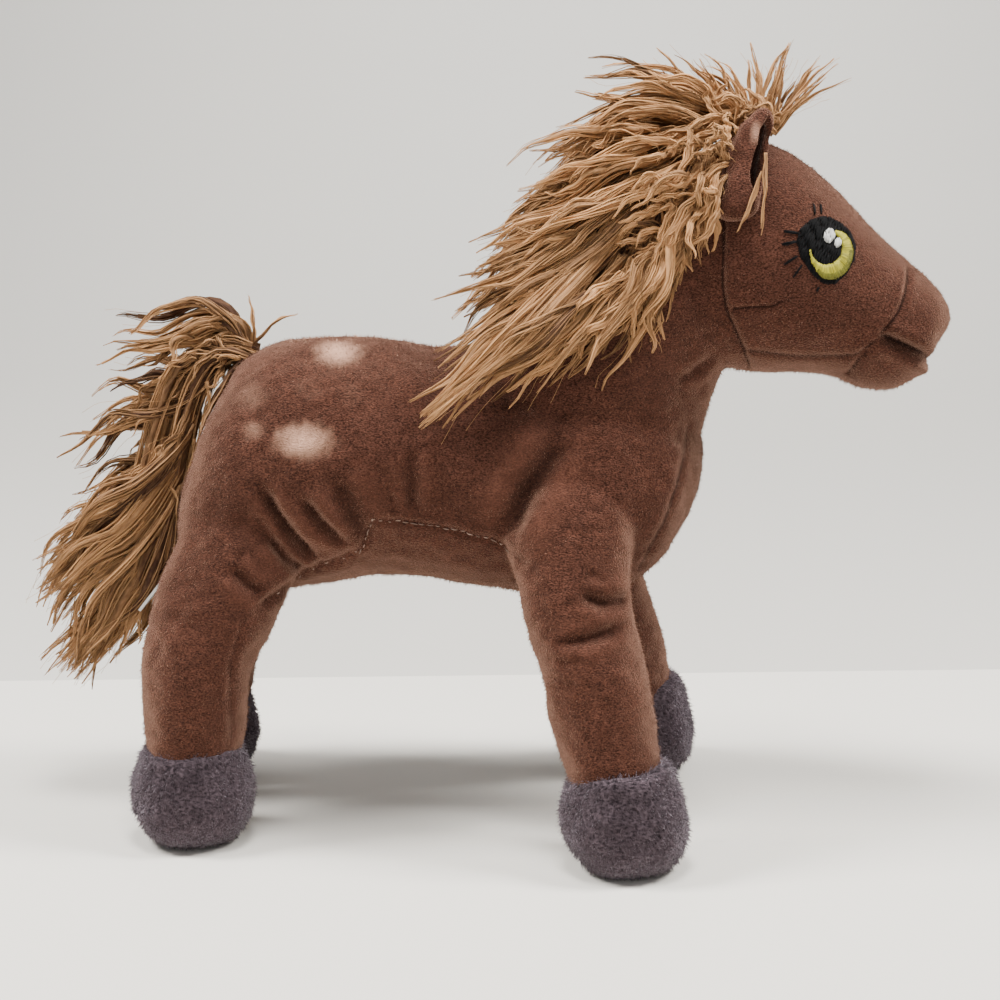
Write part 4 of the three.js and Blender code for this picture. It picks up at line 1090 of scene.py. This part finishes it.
left_guides = [
    ((66, 2, 203), (58, 9, 201), (48, 13, 193), (42, 14, 184)),
    ((58, 2, 199), (50, 9, 197), (40, 13, 187), (33, 14, 177)),
    ((49, 2, 191), (42, 9, 189), (32, 13, 179), (26, 14, 169)),
    ((40, 2, 182), (34, 8, 179), (25, 12, 170), (20, 13, 161)),
]
ridge_guides = [
    ((64, -2, 204), (52, -3, 208), (42, -3, 207), (32, -2, 203)),
    ((55, -2, 196), (43, -3, 201), (32, -3, 198), (20, -2, 191)),
    ((46, -2, 187), (34, -3, 192), (22, -3, 188), (10, -2, 179)),
    ((38, -2, 178), (27, -3, 183), (15, -3, 178), (3, -2, 169)),
    ((30, -2, 170), (19, -3, 173), (9, -3, 167), (-3, -3, 158)),
    ((22, -2, 160), (13, -3, 162), (3, -4, 157), (-8, -5, 148)),
]
strand_steps, fine_steps = 16, 31


def points_at(spots, places, line):
    """The points of a line at spots between its places."""
    return np.stack([np.interp(spots, places, line[:, axis]) for axis in range(3)], axis=1)


def smooth_line(corners, steps):
    """A smooth line of points along a few corners."""
    corners = np.asarray(corners, float)
    passed = np.concatenate([[0], np.cumsum(np.linalg.norm(np.diff(corners, axis=0), axis=1))])
    line = points_at(np.linspace(0, passed[-1], fine_steps), passed, corners)
    for _ in range(24):
        line[1:-1] = (line[:-2] + 2 * line[1:-1] + line[2:]) / 4
    return points_at(np.linspace(0, fine_steps - 1, steps), np.arange(fine_steps), line)


def lock(line, count, spread, tone, chance, curl=1.4, thickness=0.52, waves=(4, 10), hang=0.0):
    """Strands that wind together along a wavy line and end unevenly. The middle of the lock and
    its roots are painted darker than the tips, as painted shade. Gives points, thicknesses and tones."""
    steps = len(line)
    t = np.linspace(0, 1, steps)
    along = np.gradient(line, axis=0)
    along /= np.linalg.norm(along, axis=1, keepdims=True)
    across = np.cross(along, (0.1, 1, 0.05))
    across /= np.linalg.norm(across, axis=1, keepdims=True)
    upward = np.cross(along, across)
    # the lock sways more and more towards its tip, and hangs
    for way, size in ((across, curl), (upward, 0.8 * curl)):
        bend = np.sin(t * chance.uniform(*waves) + chance.uniform(0, 2 * math.pi))
        ripple = np.sin(t * chance.uniform(13, 22) + chance.uniform(0, 2 * math.pi))
        line = line + (size * (0.25 + 0.75 * t) * (bend - bend[0] + 0.25 * ripple))[:, None] * way
    line = line + (hang * t**2)[:, None] * np.array([0, 0, -1])
    width = spread * (0.45 + 0.65 * np.sin(math.pi * t**0.8)) * (1 - 0.8 * t**4)
    flat, wind = chance.uniform(0.5, 0.85), chance.normal(1.6, 1.2)
    lines = np.zeros((count, steps, 3))
    sizes, tones = np.zeros((2, count, steps))
    # strands wind round its middle, thin out and end at their own lengths
    for row in range(count):
        far = math.sqrt(chance.uniform(0.15, 1))
        turn = chance.uniform(0, 2 * math.pi) + t * wind
        out = far * width * (1 + 0.25 * chance.normal() * t**2)
        wobble = chance.uniform(0.1, 0.36) * np.sin(t * chance.uniform(7, 17) + chance.uniform(0, 6))
        share = 1 - 0.2 * chance.uniform(0, 1) ** 2 if chance.uniform() < 0.8 else chance.uniform(0.5, 0.9)
        spot = np.linspace(0, (steps - 1) * share, steps)
        path = line + (np.cos(turn) * out + wobble)[:, None] * across
        path += (np.sin(turn) * out * flat + 0.7 * wobble[::-1])[:, None] * upward
        lines[row] = points_at(spot, np.arange(steps), path)
        sizes[row] = thickness * chance.uniform(0.6, 1.25) * (1 - 0.65 * t**4)
        # painted shade: strands near the middle of the lock and towards the roots are darker, the tips
        # lighter
        tones[row] = tone + chance.normal(0, 0.09) + 0.3 * (far - 0.6) + 0.26 * (t - 0.6)
    # the first one is the thick middle of the lock, which the others lie round, its tone painted darker as
    # shade
    lines[0], sizes[0] = line, 1.35 * width * (1 - t**3) + 0.1
    tones[0] = tone - 0.16 + 0.26 * (t - 0.6)
    return lines, sizes, np.clip(tones, -0.1, 0.85)


def stray_hairs(strand_lines, count, chance):
    """Single fine fibres that have worked loose from the strands."""
    hair_thickness, hair_tone = 0.11, 0.55
    hairs = strand_lines[chance.integers(0, len(strand_lines), count)]
    steps = hairs.shape[1]
    t = np.linspace(0, 1, steps)[None, :]
    for axis in range(3):
        phase, speed = chance.uniform(0, 6, (count, 1)), chance.uniform(2, 9, (count, 1))
        drift = chance.normal(0, 2.6, (count, 1)) * t**1.3
        hairs[:, :, axis] += drift + 0.8 * np.sin(t * speed + phase) * t
    return hairs, np.full((count, steps), hair_thickness), np.full((count, steps), hair_tone)


def clear_of_skin(lines, gap):
    """Pushes points of strands out of the skin, all but their sewn roots. A point that lies
    more than deepest inside is left alone."""
    deepest = 40
    for row in lines:
        for step in range(1, len(row)):
            place = Vector(row[step])
            nearest, normal, _, _ = skin_surface.find_nearest(place)
            short = gap * min(1, step / 2) - (place - nearest).dot(normal)
            if 0 < short < deepest:
                row[step] += np.array(normal) * short
    return lines


def gather(locks):
    return [np.concatenate(group) for group in zip(*locks)]


def yarn_piece(name, locks, hairs, gap, chance):
    """Locks and their loose hairs as one piece of tan yarn that stays clear of the skin."""
    lines, sizes, tones = gather(locks)
    if hairs:
        lines, sizes, tones = gather([(lines, sizes, tones), stray_hairs(lines, hairs, chance)])
    piece = strands(name, clear_of_skin(lines, gap), sizes, tones, twist=3)
    piece.data.materials.append(tan_yarn)
    return piece


def between(guides, at):
    """The line of a fan of guides at a place between two of them."""
    guides = np.array(guides, float)
    low = min(int(at), len(guides) - 2)
    return guides[low] + (guides[low + 1] - guides[low]) * (at - low)


chance = np.random.default_rng(21)
layers = {"outer": [], "inner": [], "ridge": [], "poll": []}
# how far inner locks lie in from the outer ones, at places along the fan of guides
mane_spread = ([0, 4, 8, 15], [14, 21, 12, 7])
for number in range(230):
    layer = "outer" if number % 2 else "inner"
    deep = chance.uniform(0, 0.3) if layer == "outer" else chance.uniform(0.3, 1)
    at = chance.uniform(0, len(mane_guides) - 1)
    corners = between(mane_guides, at)
    corners[1:, 1] += deep * np.interp(at, *mane_spread)
    corners[1:, [0, 2]] += chance.normal(0, 2.6, 2) * np.array([[0.5], [1], [1.4]])
    corners[0] += chance.normal(0, 1.4, 3)
    first = chance.uniform(0, 0.45) if layer == "outer" else 0
    last = chance.uniform(0.55, 1) if layer == "outer" else chance.uniform(0.75, 1)
    spots = np.linspace(first, last, strand_steps) * (fine_steps - 1)
    line = points_at(spots, np.arange(fine_steps), smooth_line(corners, fine_steps))
    # the inner locks, under the outer ones, get a darker tone as painted shade
    tone = chance.normal(0.46 if layer == "outer" else 0.2, 0.17)
    layers[layer].append(lock(line, 12, chance.uniform(1, 2.2), tone, chance, curl=2))
# the longest locks lie together over the shoulder
longest_lock = np.array([(42, -16, 180), (20, -29, 158), (0, -34, 138), (-15, -35, 125)], float)
for _ in range(9):
    line = smooth_line(longest_lock + chance.normal(0, 1.3, 3), strand_steps)
    layers["outer"].append(lock(line, 14, 2, chance.normal(0.5, 0.08), chance, curl=1))
for _ in range(60):
    corners = between(ridge_guides, chance.uniform(0, len(ridge_guides) - 1))
    corners[1:, 1] += chance.uniform(-7, 8)
    corners += chance.normal(0, 1.4, 3)
    line = smooth_line(corners, strand_steps)
    layers["ridge"].append(lock(line, 12, 1.8, chance.normal(0.4, 0.12), chance, curl=1.9))
for _ in range(34):
    corners = between(left_guides, chance.uniform(0, len(left_guides) - 1))
    line = smooth_line(corners + chance.normal(0, 1, 3), strand_steps)
    layers["ridge"].append(lock(line, 13, 1.7, chance.normal(0.4, 0.1), chance))
# the poll is a tangle of short curls that reaches the back of the ears
for _ in range(100):
    root = np.array([chance.uniform(50, 70), 0, 0])
    root[2] = np.interp(root[0], [50, 60, 68], [196, 206, 208]) - chance.uniform(0, 1) * 25
    root[1] = -chance.uniform(17, 23) if root[2] < 193 else -chance.uniform(2, 21)
    fall = np.array([chance.uniform(-17, 2), chance.uniform(-5, -1), chance.uniform(-17, 0)])
    line = smooth_line([root, root + 0.4 * fall + (0, -2, 2), root + fall], strand_steps)
    curls = lock(line, 9, 1, chance.normal(0.56, 0.14), chance, curl=1.9, waves=(2.5, 6.5))
    layers["poll"].append(curls)
for layer, locks in layers.items():
    mane = yarn_piece(f"mane_{layer}_locks", locks, 0 if layer == "inner" else 160, 0.7, chance)
    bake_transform(mane, "torso", "head", start=neck_bend[0], end=neck_bend[1])
    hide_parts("mane")

# Forelock: stiffer locks of the same yarn, sewn in with the mane, that stand up from the
# poll between the ears over a nest of short curls. Two thin ones hang at the right ear.
forelock_guides = [
    ((77, -3, 203), (77, -4, 210), (77, -4, 218), (75, -4, 225)),
    ((79, -4, 203), (80, -5, 211), (82, -4, 219), (84, -4, 226)),
    ((80, -3, 204), (82, -2, 211), (85, -1, 218), (87, 0, 222)),
    ((80, -3, 204), (85, -2, 211), (89, -1, 218), (93, 0, 222)),
    ((81, -6, 203), (86, -6, 210), (92, -6, 217), (100, -6, 224)),
    ((75, 0, 204), (70, 0, 214), (65, 0, 220), (60, 0, 221)),
    ((73, 2, 204), (67, 2, 213), (62, 2, 219), (56, 2, 224)),
    ((72, 2, 204), (65, 3, 210), (58, 4, 215), (50, 4, 223)),
    ((71, 2, 204), (62, 4, 209), (53, 6, 214), (44, 6, 224)),
]
ear_guides = [
    ((78, -22, 197), (78.5, -24, 189), (78, -24.5, 182), (77, -24, 175)),
    ((77, -23, 192), (76, -25, 187), (74, -25, 182), (70, -25, 176)),
]
forelock_counts, forelock_top = [7, 8, 6, 6, 5, 7, 6, 7, 6], 227
chance = np.random.default_rng(31)
locks = []
for corners, count in zip(forelock_guides, forelock_counts):
    for _ in range(4):
        moved = np.array(corners, float) + chance.normal(0, 1.2, 3)
        moved[2:] += chance.normal(0, 2.2, 3) * np.array([[0.5], [1]])
        moved[3] = moved[2] + (moved[3] - moved[2]) * chance.uniform(0.4, 1.12)
        moved[3, 2] = min(moved[3, 2], forelock_top)
        line = smooth_line(moved, strand_steps)
        locks.append(lock(line, count, 0.6, chance.normal(0.52, 0.12), chance, curl=0.7, waves=(2, 6)))
for _ in range(56):
    root = np.array([chance.uniform(62, 82), chance.uniform(-13, 6), chance.uniform(201, 207)])
    rise = np.array([chance.normal(-3, 5), chance.normal(0, 3), chance.uniform(3, 11)])
    line = smooth_line([root, root + 0.5 * rise + (0, 0, 2.5), root + rise], strand_steps)
    locks.append(lock(line, 8, 1, chance.normal(0.5, 0.14), chance, curl=1.9, waves=(3, 7)))
forelock = yarn_piece("forelock_locks", locks, 90, 0.4, chance)
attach(forelock, "head")
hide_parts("forelock")
locks = [
    lock(smooth_line(corners, strand_steps), 6, 0.55, 0.5, chance, curl=0.7, waves=(2, 6))
    for corners in ear_guides
]
ear_locks = yarn_piece("right_ear_locks", locks, 0, 0.5, chance)
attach(ear_locks, "right_ear")

# Tail: a long bundle of the same yarn sewn in at the rump. It arches up, then hangs in
# uneven tufts that turn out to the back.
tail_guides = [
    ((-69, 0, 140), (-72, 0, 149), (-80, 0, 152), (-90, 0, 149)),
    ((-70, -3, 141), (-75, -5, 151), (-88, -7, 150), (-106, -8, 143)),
    ((-71, -5, 140), (-81, -8, 145), (-94, -9, 140), (-112, -8, 135)),
    ((-75, -5, 137), (-85, -9, 133), (-97, -9, 129), (-110, -8, 130)),
    ((-79, -5, 134), (-90, -9, 126), (-103, -9, 124), (-120, -6, 121)),
    ((-82, -5, 130), (-91, -10, 119), (-106, -10, 117), (-127, -6, 105)),
    ((-84, -5, 125), (-93, -10, 105), (-107, -10, 102), (-118, -6, 98)),
    ((-87, -5, 116), (-98, -10, 99), (-116, -9, 93), (-132, -5, 74)),
    ((-88, -5, 110), (-98, -11, 94), (-115, -9, 84), (-132, -4, 65)),
    ((-89, -5, 105), (-98, -11, 85), (-117, -9, 69), (-130, -3, 47)),
    ((-91, -5, 98), (-98, -11, 79), (-113, -8, 59), (-126, -2, 40)),
    ((-91, -5, 95), (-97, -10, 75), (-107, -8, 62), (-116, -4, 50)),
    ((-92, -4, 92), (-95, -8, 78), (-100, -7, 68), (-106, -4, 58)),
]
tail_spine = [
    (-69, 0, 139), (-72, 0, 147), (-80, 0, 149), (-86, 0, 138), (-89, 0, 119), (-92, 0, 104),
    (-97, 0, 88), (-104, 0, 73), (-114, 0, 57), (-126, 0, 42),
]
# single thin locks that stand away from the rest, near the rump and before the tail
tail_strays = [
    ((-69, 0, 140), (-66, 0, 144), (-62, 0, 148), (-55, 0, 151)),
    ((-68, 0, 141), (-68, 0, 146), (-68.5, 0, 151), (-69, 0, 156)),
    ((-81, -6, 131), (-80, -7, 128), (-80, -7, 123), (-81, -6, 119)),
    ((-85, -6, 114), (-85, -7, 109), (-86, -7, 104), (-87, -6, 100)),
    ((-93, -7, 100), (-89, -9, 96), (-87, -9, 92), (-85, -8, 89)),
]
spine_line = smooth_line(tail_spine, fine_steps)
chance = np.random.default_rng(41)
groups = {"right": [], "left": []}
last_guide = len(tail_guides) - 1
for number in range(138):
    across = chance.uniform(-1, 1)
    at = chance.uniform(0, last_guide) if number % 2 else chance.uniform(6.5, last_guide)
    corners = between(tail_guides, at)
    corners[:, 1] *= across
    corners[1:, 1] *= 1.25
    corners[1:, [0, 2]] += np.clip(chance.normal(0, 2, 2), -3, 2) * np.array([[0.6], [1], [1.3]])
    line = smooth_line(corners, strand_steps)
    group = "right" if across > 0 else "left"
    tone, width = chance.normal(0.3, 0.17), chance.uniform(1.3, 2.7)
    tuft = lock(line, 13, width, tone, chance, curl=2.6, thickness=0.56, waves=(5, 11), hang=1.5)
    groups[group].append(tuft)
# short curls cover the upper half of the tail
for _ in range(96):
    at = chance.uniform(0, 0.52)
    root = spine_line[round((fine_steps - 1) * at)] + chance.normal(0, 2, 3)
    fall = np.array([chance.uniform(-17, -1), chance.uniform(-9, 9), chance.uniform(-17, 1 - 8 * at)])
    line = smooth_line([root, root + 0.4 * fall + (-1, 0, 3), root + fall], strand_steps)
    group = "right" if root[1] + fall[1] < 0 else "left"
    groups[group].append(lock(line, 8, 1.1, chance.normal(0.3, 0.16), chance, curl=2.2, waves=(3, 7)))
# thick locks fill its middle, painted dark as shade
for number in range(16):
    line = smooth_line(np.array(tail_spine, float) + chance.normal(0, 2, 3), strand_steps)
    group = "right" if number % 2 else "left"
    groups[group].append(lock(line, 14, 3.4, chance.normal(0.2, 0.1), chance, curl=1.6))
# and a few close the gap between its root and the rump, painted dark as shade
root_filler = np.array([(-69, 2, 139), (-74, 6, 133), (-79, 8, 124), (-83, 8, 112)], float)
for number in range(12):
    side = 1 if number % 2 else -1
    line = smooth_line(root_filler * (1, side, 1) + chance.normal(0, 1.2, 3), strand_steps)
    groups["right" if side < 0 else "left"].append(lock(line, 8, 1.2, 0.15, chance, curl=1.4))
for corners in tail_strays:
    groups["right"].append(lock(smooth_line(corners, strand_steps), 6, 0.5, 0.4, chance, curl=0.4))
for group, locks in groups.items():
    tail = yarn_piece(f"tail_{group}_locks", locks, 110, 0.8, chance)
    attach(tail, "tail")
    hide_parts("tail")

# Label: a blank white satin tape, folded double and sewn into the seam under the tail.
# It keeps the shape of its CAD solid, with the sheen of woven thread.
label_tape = thread("label_tape", (0.6, 0.59, 0.57), (0.8, 0.79, 0.77), 0.5, 0.2)
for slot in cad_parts["sewn_label"].material_slots:
    slot.material = label_tape
